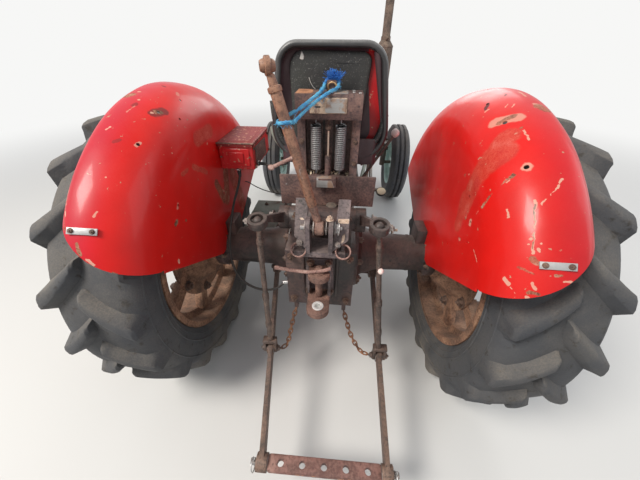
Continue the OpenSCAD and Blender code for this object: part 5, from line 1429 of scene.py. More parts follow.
def hitch_bars():
    bm = bmesh.new()
    bar_plate(bm, [on_bar(x, d, -6) for x, d in ((-81, -34), (-82, 88), (-37, 134), (-42, -34))],
              0.012, (0.002, 0.004, 0.003, 0.002))
    bar_plate(bm, [on_bar(x, d, -6) for x, d in (
        (56, -34), (50, 50), (36, 138), (92, 96), (95, -34))], 0.012, (0.002, 0.03, 0.003, 0.004, 0.002))
    # Cross bar that carries the ears, and the bars' inner ribs
    add_block(bm, at(0, -296, 832), (0.17, 0.084, 0.022), bevel=0.003)
    for x in (-58, 72):
        bar_plate(bm, [at(x, y, z) for y, z in ((-322, 843), (-262, 843), (-262, 948), (-272, 948))], 0.01)
    place_piece("hitch_bars", bm, bar_steel, replaces="hitch_bracket", sharp=30)
    bm = bmesh.new()
    for x in (-66, 77):
        hoop = Vector((0, -0.62, 0.785)).normalized()
        add_lathe(bm, mm((-7, 21.5), (-7, 25.5), (7, 26), (7, 21.5)), at(x, -334, 848), hoop, 40)
    place_piece("bar_rings", bm, handle_rust, sharp=40, bevel=0.0008)
    # Rubbed and chipped spots, slots and the bolt heads
    bm = bmesh.new()
    for spots in (((57, 28), (57, 42), (91, 42), (92, 27)), ((72, 80), (70, 106), (79, 98), (81, 74)),
            ((-67, 30), (-62, 36), (-50, 36), (-56, 29))):
        bar_plate(bm, [on_bar(x, d, 5.8) for x, d in spots], 0.0008, (0.002,) * 4, 0.0003)
    place_piece("bar_bare_spots", bm, tan_patch)
    # The slots are thin black plates: painted shade in the holes.
    bm = bmesh.new()
    for x, d, wide, high in ((-66, -24, 12, 7), (-48, -25, 8, 5), (-57, -14, 6, 4), (62, 35, 4, 4)):
        bar_plate(bm, [on_bar(x + a * wide / 2, d + b * high / 2, 6.2) for a, b in (
            (-1, -1), (-1, 1), (1, 1), (1, -1))], 0.0006, (0.001,) * 4, 0.0002)
    place_piece("bar_slots", bm, black_moulding_and_shade)


def link_ears():
    bm = bmesh.new()
    for x in (-36, 36):
        raise_face(bm, add_plate(bm, [at(x + 7, y, z) for y, z in ((-343, 838), (-287, 838), (-287, 957),
            (-343, 957))], (0.002, 0.002, 0.024, 0.024), 8), ((0, -0.013), (0.001, -0.001)))
        bmesh.ops.recalc_face_normals(bm, faces=bm.faces[:])
    place_piece("top_link_ears", bm, bar_steel, sharp=30)
    bm = bmesh.new()
    pin = at(0, -315, 925)
    add_rod(bm, pin - X * 0.06, pin + X * 0.06, 0.0095)
    for x, way in ((-44, -1), (44, 1)):
        add_washer(bm, pin + X * x / 1000, X * way, 0.009, 0.021, 0.003)
    add_bolt(bm, pin + X * 0.047, X, 0.028, 0.012)
    add_washer(bm, pin - X * 0.02, X, 0.012, 0.024, 0.004)
    add_washer(bm, pin + X * 0.02, X, 0.012, 0.022, 0.003)
    add_bolt(bm, at(-62, -326, 872), BAR_OUT, 0.016)
    add_bolt(bm, at(58, -326, 872), BAR_OUT, 0.016)
    place_piece("top_link_pin", bm, streaky_steel, bevel=0.0007)
    bm = bmesh.new()
    add_bolt(bm, at(31, -318, 957), Z, 0.015, 0.008)
    place_piece("ear_nut", bm, tan_patch, bevel=0.001)
    # Thin wire linch pin that hangs from the pin's end
    bm = bmesh.new()
    add_tube(bm, [pin + Vector(p) for p in ((0.056, 0, 0.008), (0.058, -0.006, 0.024),
        (0.062, -0.02, 0.018), (0.06, -0.024, -0.004), (0.057, -0.012, -0.02), (0.056, 0, -0.008))], 0.0016,
        8)
    place_piece("top_link_linch_pin", bm, bright_steel, sharp=60)


TOP_FOOT = at(0, -315, 925)
TOP_WAY = Vector((-0.2924, 0.1045, 0.9506)).normalized()


def top_link():
    """Tube with a tapered tongue at its foot, a collar, and a ball in an eye at its head."""
    across = Vector((0.94, 0.34, 0)).normalized()
    bm = bmesh.new()
    add_lathe(bm, mm((72, 0), (74, 11.8), (79, 14.2), (200, 15), (360, 14.8), (392, 15), (396, 13.5),
        (396.5, 0)), TOP_FOOT, TOP_WAY, 40, False)
    add_lathe(bm, mm((385, 15), (386, 17.6), (392, 18.2), (398, 17.6), (400, 13)), TOP_FOOT, TOP_WAY, 36)
    add_lathe(bm, mm((398, 0), (398, 12), (412, 10.8), (424, 9.8), (430, 0)), TOP_FOOT, TOP_WAY, 28, False)
    eye = TOP_FOOT + TOP_WAY * 0.443
    add_lathe(bm, mm((-5.5, 14), (-7.5, 16.5), (-7.5, 19), (-5.5, 21.5), (5.5, 21.5), (7.5, 19),
        (7.5, 16.5), (5.5, 14)), eye, across, 40)
    add_lathe(bm, mm((-18.5, 9.6), (-18.5, 10.8), (-14, 13.8), (-7.5, 15.7), (0, 16.2), (7.5, 15.7),
        (14, 13.8), (18.5, 10.8), (18.5, 9.6)), eye, across, 40)
    place_piece("top_link_tube", bm, top_link_rust, replaces="top_link", sharp=40)
    bm = bmesh.new()
    add_lathe(bm, mm((-12, 0), (-10, 9.5), (0, 11.8), (30, 12.8), (52, 11.2), (60, 12.8), (78, 12.2),
        (80, 0)), TOP_FOOT, TOP_WAY, 32, False)
    flat = (Matrix.Translation(TOP_FOOT) @ Matrix.Diagonal((1.0, 0.8, 1.0, 1.0))
            @ Matrix.Translation(-TOP_FOOT))
    bmesh.ops.transform(bm, matrix=flat, verts=bm.verts)
    add_lathe(bm, mm((-14, 0), (-14, 21), (-11, 24), (11, 24), (14, 21), (14, 0)), TOP_FOOT, X, 36, False)
    place_piece("top_link_tongue", bm, clevis_rust, sharp=40)
    # Tommy bar through the tube
    bm = bmesh.new()
    grip = TOP_FOOT + TOP_WAY * 0.232
    add_rod(bm, grip + X * 0.012, at(-134, -322, 1116), 0.0048)
    add_lathe(bm, mm((-9, 0), (-7, 6.2), (0, 7.8), (7, 6.2), (9, 0)), at(-132, -321, 1117), X, 20, False)
    place_piece("tommy_bar", bm, handle_rust, sharp=50)


def clevis():
    bm = bmesh.new()
    raise_face(bm, add_plate(bm, upright(-281, ((-54, 611), (54, 611), (46, 784), (-46, 784))),
        (0.01, 0.01, 0.016, 0.016), 6), ((0, 0.016), (0.003, 0.003)))
    # Cheeks that carry the jaw, right one wider
    for x, wide, low, high in ((-37, 8, 648, 757), (37, 12, 612, 772)):
        add_block(bm, at(x, -312, (low + high) / 2), (wide / 1000, 0.046, (high - low) / 1000), bevel=0.003)
    place_piece("clevis_plate", bm, bar_steel, replaces="hitch_clevis", sharp=30)
    bm = bmesh.new()
    for low, high, middle, wide in ((735, 757, -335, 38), (618, 640, -385, 40)):
        raise_face(bm, add_plate(bm, level(low, ((-wide, -298), (-wide, middle - wide),
            (wide, middle - wide), (wide, -298))), (0, (wide - 1) / 1000, (wide - 1) / 1000, 0), 14),
            ((0, (high - low - 3) / 1000), (0.0012, 0.002), (0.003, 0.001)))
    piece = place_piece("clevis_jaw_and_tongue", bm, clevis_rust, sharp=40)
    bore(piece, [(at(0, -385, 629), Z, 0.0135), (at(0, -335, 746), Z, 0.0136)])
    bm = bmesh.new()
    add_lathe(bm, mm((-12.5, 11.3), (-12.5, 13.5), (12.5, 13.5), (13.5, 20.5), (14.5, 20), (15.5, 13.5),
        (14.5, 11.3)), at(0, -385, 628), Z, 48)
    place_piece("tongue_bush", bm, worn_bright, sharp=40)
    bm = bmesh.new()
    for x in (-40, 40):
        for z in (630, 770):
            add_bolt(bm, at(x * (1.0 if z < 700 else 0.8), -300, z), -Y, 0.019)
    place_piece("clevis_bolts", bm, link_rust, bevel=0.0007)
    # Pin with its head, and the handle that lies over the jaw
    bm = bmesh.new()
    pin = at(0, -335, 0)
    add_lathe(bm, mm((641, 0), (642, 11), (650, 12.8), (760, 12.8), (762, 16), (766, 16.5), (770, 12.8),
        (778, 10.5), (780, 0)), pin, Z, 32, False)
    add_lathe(bm, mm((757, 12.8), (757, 21), (758.5, 22), (761, 21), (761, 12.8)), pin, Z, 32)
    place_piece("clevis_pin", bm, clevis_rust, replaces="hitch_pin", sharp=40)
    bm = bmesh.new()
    add_tube(bm, at_each(((-147, -332, 763), (-138, -333, 762), (-90, -337, 760), (-40, -344, 762),
        (-8, -346, 768), (20, -344, 774), (40, -340, 779))), 0.0062, 16)
    add_lathe(bm, mm((-9, 0), (-8, 6.5), (0, 8.2), (8, 6.5), (9, 0)), at(-145, -332, 763), X, 20, False)
    place_piece("pin_handle", bm, handle_rust, sharp=60)


hitch_bars()
link_ears()
top_link()
clevis()


# Three point linkage: arms' rings, lift rods, ball ends, linch pins and chains
EYE_Y, EYE_Z = -384.7, 982.6
LOW_Y = -372
LOW_X = {LEFT: -198.9, RIGHT: 251.8}
LOW_Z = 340.4
LINK_END_X = {LEFT: -157, RIGHT: 258}
LINK_END_Y, LINK_END_Z = -737, 250

arm_iron = worn_iron("lift_arm_iron", (0.016, 0.01, 0.01), (0.04, 0.025, 0.024), (0.1, 0.062, 0.052), 14.0,
    0.5, 0.06, 0.1, oil=0.25)
rod_iron = worn_iron("lift_rod_iron", (0.024, 0.015, 0.013), (0.075, 0.047, 0.038), (0.21, 0.135, 0.1),
    20.0, 0.45, 0.05, 0.06, bare=0.05)
drawbar_skin = worn_iron("drawbar_rust", (0.1, 0.04, 0.032), (0.21, 0.092, 0.075), (0.33, 0.175, 0.14),
    12.0, 0.65, 0.08, 0.12)


def lift_rod_pair():
    bm = bmesh.new()
    knobs = bmesh.new()
    for side in (LEFT, RIGHT):
        top, low = at(side * 170, EYE_Y, EYE_Z), at(LOW_X[side], LOW_Y, LOW_Z)
        way = (low - top).normalized()
        reach = (low - top).length
        add_lathe(bm, [(0.01, 0.0), (0.01, 0.0072), (0.06, 0.0074), (0.064, 0.01), (0.08, 0.0105),
            (0.084, 0.0082), (0.3, 0.0086), (0.304, 0.0115), (0.33, 0.0118), (0.334, 0.0095),
            (reach * 0.72, 0.0098), (reach * 0.72 + 0.004, 0.012), (reach * 0.72 + 0.03, 0.012),
            (reach * 0.72 + 0.034, 0.0098), (reach - 0.052, 0.01), (reach - 0.05, 0.0)], top, way, 28,
            False)
        # Thread that shows below the head
        add_coil(bm, top + way * 0.088, top + way * 0.15, 0.008, 0.0011, 22, 6, 14)
        # Yoke over the lower link
        add_block(bm, low + Z * 0.054, (0.056, 0.03, 0.016), bevel=0.003)
        for out in (-1, 1):
            x = out * 20.5 / 1000
            add_block(bm, low + X * x + Z * 0.026, (0.01, 0.03, 0.052), bevel=0.0015)
            add_lathe(bm, mm((-5, 0), (-5, 16.5), (-4, 17.2), (4, 17.2), (5, 16.5), (5, 0)), low + X * x, X,
                28, False)
            add_bolt(bm, low + X * out * 0.0258, X * out, 0.019, 0.008)
        # Ball-shaped head that sits in the arm's ring
        add_lathe(knobs, mm((-15, 0), (-13, 7.5), (-7, 12.5), (0, 14.8), (8, 13.8), (14, 10.5), (18, 8.5),
            (20, 0)), top, way, 28, False)
        add_rod(knobs, top - X * 0.0178, top + X * 0.0178, 0.0062)
    place_piece("lift_rod_bars", bm, rod_iron, "lift_rods", "lift_rods", sharp=36)
    place_piece("lift_rod_heads", knobs, arm_iron, "lift_rods", sharp=40)
    # Pale ball on the right rod
    bm = bmesh.new()
    top, low = at(170, EYE_Y, EYE_Z), at(LOW_X[RIGHT], LOW_Y, LOW_Z)
    spot = top + (low - top) * 0.24
    add_lathe(bm, mm((-10, 0), (-7, 6.8), (0, 9.5), (7, 6.8), (10, 0)), spot - Y * 0.012 + X * 0.004, Y, 24,
        False)
    place_piece("rod_grease_ball", bm, knob_pink, "lift_rods", sharp=60)


def arm_details():
    """Rings' collars and the ringed bolt beside the right arm."""
    bm = bmesh.new()
    for side in (LEFT, RIGHT):
        eye = at(side * 170, EYE_Y, EYE_Z)
        add_bolt(bm, eye + X * side * 0.026, X * side, 0.017, 0.008)
        hub = at(side * 175, -178, 875)
        add_bolt(bm, hub + X * side * 0.0025, X * side, 0.03, 0.012)
    place_piece("lift_arm_bolts", bm, streaky_steel, "lift_arms", bevel=0.0008)
    bm = bmesh.new()
    eye = at(206, EYE_Y + 2, EYE_Z - 8)
    add_ring(bm, eye, (1, 0, 0.1), 0.0105, 0.0022)
    add_rod(bm, eye - X * 0.012, eye + X * 0.014, 0.0042)
    place_piece("lift_arm_linch_ring", bm, rubbed_steel, "lift_arms", sharp=50)


def link_ends():
    """Balls in the lower links' eyes, their lips and the linch pins at the drawbar's stubs."""
    balls, pins = bmesh.new(), bmesh.new()
    for side in (LEFT, RIGHT):
        for place, grip in ((at(LINK_END_X[side], LINK_END_Y, LINK_END_Z), 0.021),
                (at(side * 245, 30, 440), 0.026)):
            for way in (-1, 1):
                add_washer(balls, place + X * way * 0.0165, X * way, 0.0115, grip, 0.0035)
        outer = at(LINK_END_X[side] + side * 27, LINK_END_Y, LINK_END_Z)
        add_rod(pins, outer + Z * 0.022, outer - Z * 0.026, 0.0048)
        add_ring(pins, outer + Z * 0.01 - Y * 0.012, (1, 0.1, 0.1), 0.02, 0.0017)
        low = at(LOW_X[side], LOW_Y, LOW_Z)
        for way in (-1, 1):
            add_washer(balls, low + X * way * 0.0125, X * way, 0.01, 0.022, 0.002)
    place_piece("lower_link_balls", balls, streaky_steel, "lower_links", sharp=40)
    place_piece("linch_pins", pins, bright_steel, "lower_links", sharp=50)


def drawbar_piece():
    middle = (LINK_END_X[LEFT] + LINK_END_X[RIGHT]) / 2
    half = (LINK_END_X[RIGHT] - LINK_END_X[LEFT] - 36) / 2 - 0.5
    bm = bmesh.new()
    raise_face(bm, add_plate(bm, [at(middle + x * half, y, 238.5)
        for x, y in ((-1, -761), (1, -761), (1, -713), (-1, -713))], (0.009,) * 4, 6),
        ((0, 0.0205), (0.0012, 0.0015), (0.002, 0.0006)))
    piece = place_piece("drawbar_plate", bm, drawbar_skin, "lower_links", "drawbar",
        sharp=40)
    bore(piece, [(at(middle + i * 72.5, -737, 250), Z, 0.011) for i in range(-2, 3)])
    bm = bmesh.new()
    for way in (-1, 1):
        start = at(middle + way * (half - 6), LINK_END_Y, LINK_END_Z)
        end = at(middle + way * (half + 54), LINK_END_Y, LINK_END_Z)
        add_rod(bm, start, end, 0.0108)
        add_rod(bm, end, end + X * way * 0.003, 0.0108, 0.0085)
    place_piece("drawbar_stubs", bm, streaky_steel, "lower_links", sharp=40)
    # Orange chips along the lower edge
    chance = random.Random(3)
    bm = bmesh.new()
    for _ in range(9):
        x = middle + chance.uniform(-0.95, 0.95) * half
        long, high = chance.uniform(5, 14), chance.uniform(3, 7)
        z = 240 + chance.uniform(0, 9)
        bar_plate(bm, [at(x + a * long, -761, z + b * high)
            for a, b in ((0, 0), (1, 0.1), (0.9, 1), (0.15, 0.8))], 0.0007, (0.001,) * 4, 0.0003)
    place_piece("drawbar_chips", bm, orange_rust, "lower_links")


CHAIN_POINTS = {
    LEFT: ((-97, -265, 490), (-110, -290, 450), (-122, -316, 390), (-132, -332, 340),
           (-145, -346, 314), (-163, -356, 318)),
    RIGHT: ((97, -265, 490), (112, -290, 450), (134, -316, 392), (162, -336, 344),
            (190, -350, 316), (216, -356, 318))}


def chain(side, name, replaces):
    """Links of round wire, each turned square to its neighbours."""
    line = smooth_line(at_each(CHAIN_POINTS[side]), 12)
    pitch, travelled, marks = 0.0215, 0.0, [line[0]]
    for a, b in zip(line, line[1:]):
        travelled += (b - a).length
        while travelled >= pitch * len(marks):
            part = (travelled - pitch * len(marks)) / (b - a).length
            marks.append(b + (a - b) * part)
    bm = bmesh.new()
    for i, (a, b) in enumerate(zip(marks, marks[1:])):
        way = (b - a).normalized()
        side_way = way.orthogonal().normalized()
        normal = Matrix.Rotation(radians(35 + 90 * (i % 2)), 3, way) @ side_way
        verts = add_ring(bm, (0, 0, 0), Z, 0.0078, 0.0029, 20, 8)
        bmesh.ops.transform(bm, matrix=Matrix.Diagonal((1.75, 1, 1, 1)), verts=verts)
        turn = Matrix((way, normal.cross(way), normal)).transposed().to_4x4()
        bmesh.ops.transform(bm, matrix=Matrix.Translation((a + b) / 2) @ turn, verts=verts)
    piece = place_piece(name, bm, chain_rust, None, replaces, sharp=60)
    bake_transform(piece)


lift_rod_pair()
arm_details()
link_ends()
drawbar_piece()
chain(LEFT, "check_chain_left", "check_chains")
chain(RIGHT, "check_chain_right", None)


# Lamp box on the left fender
BOX_Y = (48, 304)
lid_paint = red_paint("lid_paint", (0.2, 0.022, 0.022), chips=0.25, gloss=0.55)
grimy = worn_iron("grimy_side", (0.03, 0.012, 0.012), (0.12, 0.04, 0.036), (0.26, 0.16, 0.13),
                  18.0, 0.8, 0.3, 0.3)


def lamp_box():
    bm = bmesh.new()
    raise_face(bm, add_plate(bm, upright(BOX_Y[1] - 2, ((-441, 956), (-297, 956), (-299, 1060),
        (-440, 1060))), (0.006,) * 4, 4), ((0, 0.248), (0.002, 0.002), (0.0025, 0.001)))
    for (left_x, low), (right_x, high), y in (((-424, 971), (-314, 1043), 51),
                                              ((-400, 985), (-338, 1029), 47)):
        raise_face(bm, add_plate(bm, upright(y, ((left_x, low), (right_x, low), (right_x, high),
            (left_x, high))), (0.007,) * 4, 5), ((0, 0.002), (0.002, 0.0015)), False)
    for vert in bm.verts:
        vert.co.x += 0.0012 * sin(vert.co.y * 31) * sin(vert.co.z * 40)
    place_piece("lamp_box_shell", bm, box_paint, replaces="lamp_box", sharp=35)
    # Lid with a folded rim, dusty on top
    bm = bmesh.new()
    raise_face(bm, add_plate(bm, level(1052, ((-443, 44), (-293, 44), (-295, 308), (-443, 308))),
        (0.008,) * 4, 5), ((0, 0.012), (0.003, 0.0028), (0.003, 0.0006)))
    bar_plate(bm, level(1068, ((-424, 66), (-424, 288), (-314, 288), (-314, 66))), 0.003, (0.01,) * 4)
    place_piece("lamp_box_lid", bm, lid_paint, sharp=40)
    # Dirty right side, the fixing screws and the rod at the lid's edge
    bm = bmesh.new()
    bar_plate(bm, [at(-296.5, y, z) for y, z in ((70, 968), (240, 968), (240, 1040), (78, 1044))], 0.0014,
        (0.008,) * 4, 0.0004)
    place_piece("lamp_box_side", bm, grimy)
    bm = bmesh.new()
    for y, z in ((60, 966), (60, 1042), (290, 966), (290, 1042)):
        add_bolt(bm, at(-297, y, z), X, 0.009, 0.004)
    for x in (-430, -312):
        add_bolt(bm, at(x, 45.5, 1010), -Y, 0.007, 0.003, False)
    add_rod(bm, at(-448, 46, 1064), at(-292, 46, 1064), 0.0032)
    place_piece("lamp_box_screws", bm, link_rust, bevel=0.0005)
    # Glands with tapered reliefs where the cables leave
    bm = bmesh.new()
    for place, way, bore_r in ((at(-373, 60, 956), -Z, 0.005), (at(-297, 100, 966), X, 0.004)):
        add_lathe(bm, [(-0.004, bore_r), (-0.004, bore_r + 0.005), (0.004, bore_r + 0.005),
                       (0.006, bore_r + 0.0032), (0.016, bore_r + 0.0028), (0.036, bore_r + 0.0008),
                       (0.036, bore_r)], place, way, 24)
        for step in range(3):
            add_ring(bm, place + way * (0.011 + 0.007 * step), way, bore_r + 0.0026, 0.001, 24, 8)
    place_piece("cable_reliefs", bm, black_rubber, sharp=40)
    bm = bmesh.new()
    for place, way in ((at(-373, 60, 955), -Z), (at(-297, 100, 966), X)):
        add_washer(bm, place, way, 0.0075, 0.013, 0.004, 6)
    add_lathe(bm, mm((-12, 5.2), (-12, 8.5), (10, 8.5), (12, 6.6), (12, 5.2)), at(-154, -190, 552),
        Vector((0.99, 0.1, 0.05)), 20)
    place_piece("cable_fittings", bm, bright_steel, sharp=30)


lamp_box()


# Wheels: nuts, hub caps, valves and the lugs' bolts
def wheel_spot(middle, out, radius, angle):
    """A point on a wheel: out along its axle from its middle, and round it."""
    way = Vector((0, cos(angle), sin(angle)))
    return middle + X * out + way * radius


def rear_wheel_details(side, word):
    middle = REAR_AXLE + X * side * REAR_TRACK_X
    out = X * side
    bm = bmesh.new()
    for i in range(8):
        angle = radians(22.5 + 45 * i)
        for inwards, radius, way, across, high, washer in (
                (-0.139, 0.085, 1, 0.03, 0.018, True), (-0.139, 0.085, 1, 0.013, 0.03, False),
                (-0.024, 0.235, 1, 0.03, 0.016, True), (-0.0715, 0.228, -1, 0.03, 0.014, True)):
            add_bolt(bm, wheel_spot(middle, side * inwards, radius, angle), out * way, across, high, washer)
    place_piece("rear_wheel_nuts_" + word, bm, link_rust, "rear_wheel_" + word,
        bevel=0.001)
    bm = bmesh.new()
    add_lathe(bm, mm((-96, 44), (-94, 48), (-90, 48), (-86, 40), (-84, 0)), middle, out, 36, False)
    place_piece("rear_hub_cap_" + word, bm, greasy_steel, "rear_wheel_" + word, sharp=40)
    bm = bmesh.new()
    foot = wheel_spot(middle, side * 0.02, 0.338, radians(60))
    inward = (middle - wheel_spot(middle, 0, 0.338, radians(60))).normalized()
    add_rod(bm, foot, foot + inward * 0.012 + out * 0.004, 0.008, 0.0055)
    add_rod(bm, foot + inward * 0.01, foot + inward * 0.034 + out * 0.01, 0.0042)
    place_piece("rear_valve_" + word, bm, brass, "rear_wheel_" + word)


def front_wheel_details(side, word):
    middle = FRONT_AXLE + X * side * FRONT_TRACK_X
    out = X * side
    bm = bmesh.new()
    for i in range(5):
        angle = radians(90 + 72 * i)
        add_bolt(bm, wheel_spot(middle, side * -0.012, 0.084, angle), out, 0.022, 0.016)
    place_piece("front_wheel_nuts_" + word, bm, link_rust, "front_wheel_" + word,
        bevel=0.0008)
    bm = bmesh.new()
    add_lathe(bm, mm((60, 29), (66, 30.5), (72, 27), (78, 16), (80, 0)), middle, out, 32, False)
    add_lathe(bm, mm((38, 57), (41, 57), (44, 50), (44, 31)), middle, out, 40)
    place_piece("front_hub_cap_" + word, bm, lamp_shell, "front_wheel_" + word, sharp=40)
    bm = bmesh.new()
    foot = wheel_spot(middle, side * 0.026, 0.172, radians(200))
    inward = (middle - wheel_spot(middle, 0, 0.172, radians(200))).normalized()
    add_rod(bm, foot, foot + inward * 0.02 + out * 0.014, 0.0042)
    place_piece("front_valve_" + word, bm, brass, "front_wheel_" + word)


for side, word in SIDES:
    rear_wheel_details(side, word)
    front_wheel_details(side, word)


# Rear castings: bolts of the trumpets and the lift cover, the shaft's cap, plugs and ribs
def casting_details():
    bm = bmesh.new()
    axle_z = REAR_AXLE.z * 1000
    for side in (LEFT, RIGHT):
        for i in range(10):
            angle = radians(18 + 36 * i)
            place = at(side * 147, 148 * cos(angle), axle_z + 148 * sin(angle))
            add_bolt(bm, place, X * side, 0.024, 0.014)
        for i in range(6):
            angle = radians(60 * i)
            place = at(side * 460, 92 * cos(angle), axle_z + 92 * sin(angle))
            add_bolt(bm, place, -X * side, 0.019, 0.012)
    for x in (-88, 88):
        for y in (-215, -95, 30, 132):
            add_bolt(bm, at(x, y, 900), Z, 0.02, 0.012)
    for x, z in ((-104, 560), (104, 560), (-104, 775), (104, 775)):
        add_bolt(bm, at(x, -280, z), -Y, 0.02, 0.012)
    for i in range(6):
        angle = radians(30 + 60 * i)
        add_bolt(bm, at(30 * cos(angle), -302, 570 + 30 * sin(angle)), -Y, 0.01, 0.006)
    place_piece("casting_bolts", bm, link_rust, bevel=0.0008)
    bm = bmesh.new()
    add_lathe(bm, mm((0, 27), (4, 27), (26, 24), (30, 20), (30, 0)), at(0, -302, 570), -Y, 40, False)
    place_piece("power_shaft_cap", bm, clevis_rust, sharp=40)
    bm = bmesh.new()
    add_bolt(bm, at(60, 60, 400), -Z, 0.034, 0.014)
    add_bolt(bm, at(0, 330, 470), -Z, 0.034, 0.014)
    add_lathe(bm, mm((0, 20), (16, 20), (18, 16), (18, 0)), at(30, -150, 900), Z, 28, False)
    place_piece("oil_plugs", bm, greasy_steel, bevel=0.001)
    # Raised rims and ribs of the castings
    bm = bmesh.new()
    for side in (LEFT, RIGHT):
        for step in (200, 290, 380):
            add_lathe(bm, mm((-5, 79), (-4, 84), (4, 84), (5, 79)), at(side * step, 0, axle_z), X * side,
                64)
    for x in (-62, 62):
        add_block(bm, at(x, -283, 690), (0.012, 0.012, 0.2), bevel=0.004)
    add_block(bm, at(0, -236, 858), (0.15, 0.008, 0.01), bevel=0.003)
    place_piece("casting_ribs", bm, oily_iron, sharp=40)


casting_details()


# Engine: rocker cover, injectors and their pipes, fan with its belt, hoses, dynamo bands
def engine_details():
    bm = bmesh.new()
    raise_face(bm, add_plate(bm, level(970, ((-68, 944), (68, 944), (68, 1486), (-68, 1486))), (0.02,) * 4,
        6), ((0, 0.006), (0.004, 0.0), (0.0, 0.034), (0.006, 0.012), (0.008, 0.003)))
    place_piece("rocker_cover", bm, engine_paint, sharp=40)
    bm = bmesh.new()
    for y in (1060, 1370):
        add_lathe(bm, mm((0, 18), (10, 17), (12, 10), (20, 10), (22, 0)), at(0, y, 1024), Z, 24, False)
    add_lathe(bm, mm((0, 30), (16, 30), (26, 28), (30, 18), (30, 0)), at(0, 1215, 1022), Z, 32, False)
    for i in range(4):
        for x in (-104, 104):
            add_bolt(bm, at(x * 0.86, 960 + 165 * i, 970), Z, 0.018, 0.014)
    for i in range(9):
        for side in (LEFT, RIGHT):
            add_bolt(bm, at(side * 106, 932 + 70 * i, 530), X * side, 0.014, 0.01)
    place_piece("engine_nuts", bm, greasy_steel, bevel=0.0008)
    bm = bmesh.new()
    for i in range(4):
        head = at(-82, 990 + 135 * i, 970)
        add_lathe(bm, mm((0, 13), (20, 13), (22, 9), (48, 9), (50, 0)), head, Z, 20, False)
        pump = at(-142, 1300 + 22 * i, 690)
        route = [head + Z * 0.046, head + Z * 0.066 - X * 0.012, head + Z * 0.05 - X * 0.046,
            head - X * 0.062 - Z * 0.06, pump + Z * 0.16 + X * 0.004, pump + Z * 0.05, pump]
        add_tube(bm, smooth_line(route, 5), 0.0032, 8)
    place_piece("injector_pipes", bm, greasy_steel, sharp=50)
    # Fan, its pulleys and belt
    bm = bmesh.new()
    hub = at(0, 1600, 850)
    add_lathe(bm, mm((-16, 30), (10, 30), (14, 22), (14, 0)), hub, Y, 32, False)
    for i in range(4):
        turn = Matrix.Rotation(radians(45 + 90 * i), 4, "Y") @ Matrix.Rotation(radians(24), 4, "Z")
        way = Matrix.Rotation(radians(45 + 90 * i), 3, "Y") @ Z
        add_block(bm, hub + way * 0.098, (0.062, 0.0025, 0.15), turn, 0.0008)
    place_piece("cooling_fan", bm, grey_green, sharp=40)
    bm = bmesh.new()
    low, high = at(0, 1567, 710), at(0, 1567, 850)
    loop = ([high + Vector((0.058 * cos(a), 0, 0.058 * sin(a)))
             for a in (radians(12 * i) for i in range(16))]
            + [low + Vector((-0.063 * cos(a), 0, -0.063 * sin(a)))
               for a in (radians(12 * i) for i in range(16))])
    add_tube(bm, loop + loop[:2], 0.0065, 10, tension=False)
    place_piece("fan_belt", bm, black_rubber, sharp=50)
    # Coolant hoses with their clips
    bm = bmesh.new()
    clips = bmesh.new()
    for route in (((30, 1530, 925), (34, 1590, 950), (30, 1680, 1010), (20, 1770, 1050), (10, 1812, 1055)),
                  ((70, 1546, 600), (78, 1600, 596), (84, 1700, 640), (84, 1780, 690), (80, 1812, 700))):
        line = smooth_line(at_each(route), 8)
        add_tube(bm, line, 0.021, 20)
        for a, b in ((line[3], line[4]), (line[-4], line[-3])):
            add_lathe(clips, mm((-6, 21.2), (-6, 22.6), (6, 22.6), (6, 21.2)), a, b - a, 32)
    place_piece("coolant_hoses", bm, black_rubber, sharp=50)
    for y in (1262, 1440):
        add_lathe(clips, mm((-6, 52), (-6, 54.5), (6, 54.5), (6, 52)), at(-161, y, 640), Y, 48)
    place_piece("hose_clips", clips, zinc_strip, sharp=40)
    bm = bmesh.new()
    for x, y, z, r, length in ((-161, 1240, 640, 0.03, -0.01), (-161, 1460, 640, 0.034, 0.016),
            (149, 950, 560, 0.026, -0.014)):
        add_lathe(bm, [(0, r), (length * 0.7, r), (length, r * 0.7), (length, 0)], at(x, y, z), Y, 32,
            False)
    for z in (620, 772):
        add_lathe(bm, mm((-5, 44), (-4, 46.5), (4, 46.5), (5, 44)), at(-157, 1080, z), Z, 40)
    add_bolt(bm, at(-157, 1080, 790), Z, 0.02, 0.012)
    place_piece("engine_fittings", bm, greasy_steel, sharp=40, bevel=0.0008)


engine_details()


# Bonnet and nose: ridge, seam, latches, fuel cap, grille bars and the radiator's core
GRILLE_LOW, GRILLE_HIGH, GRILLE_HALF = 700, 1130, 150
NOSE_FRONT = 2129


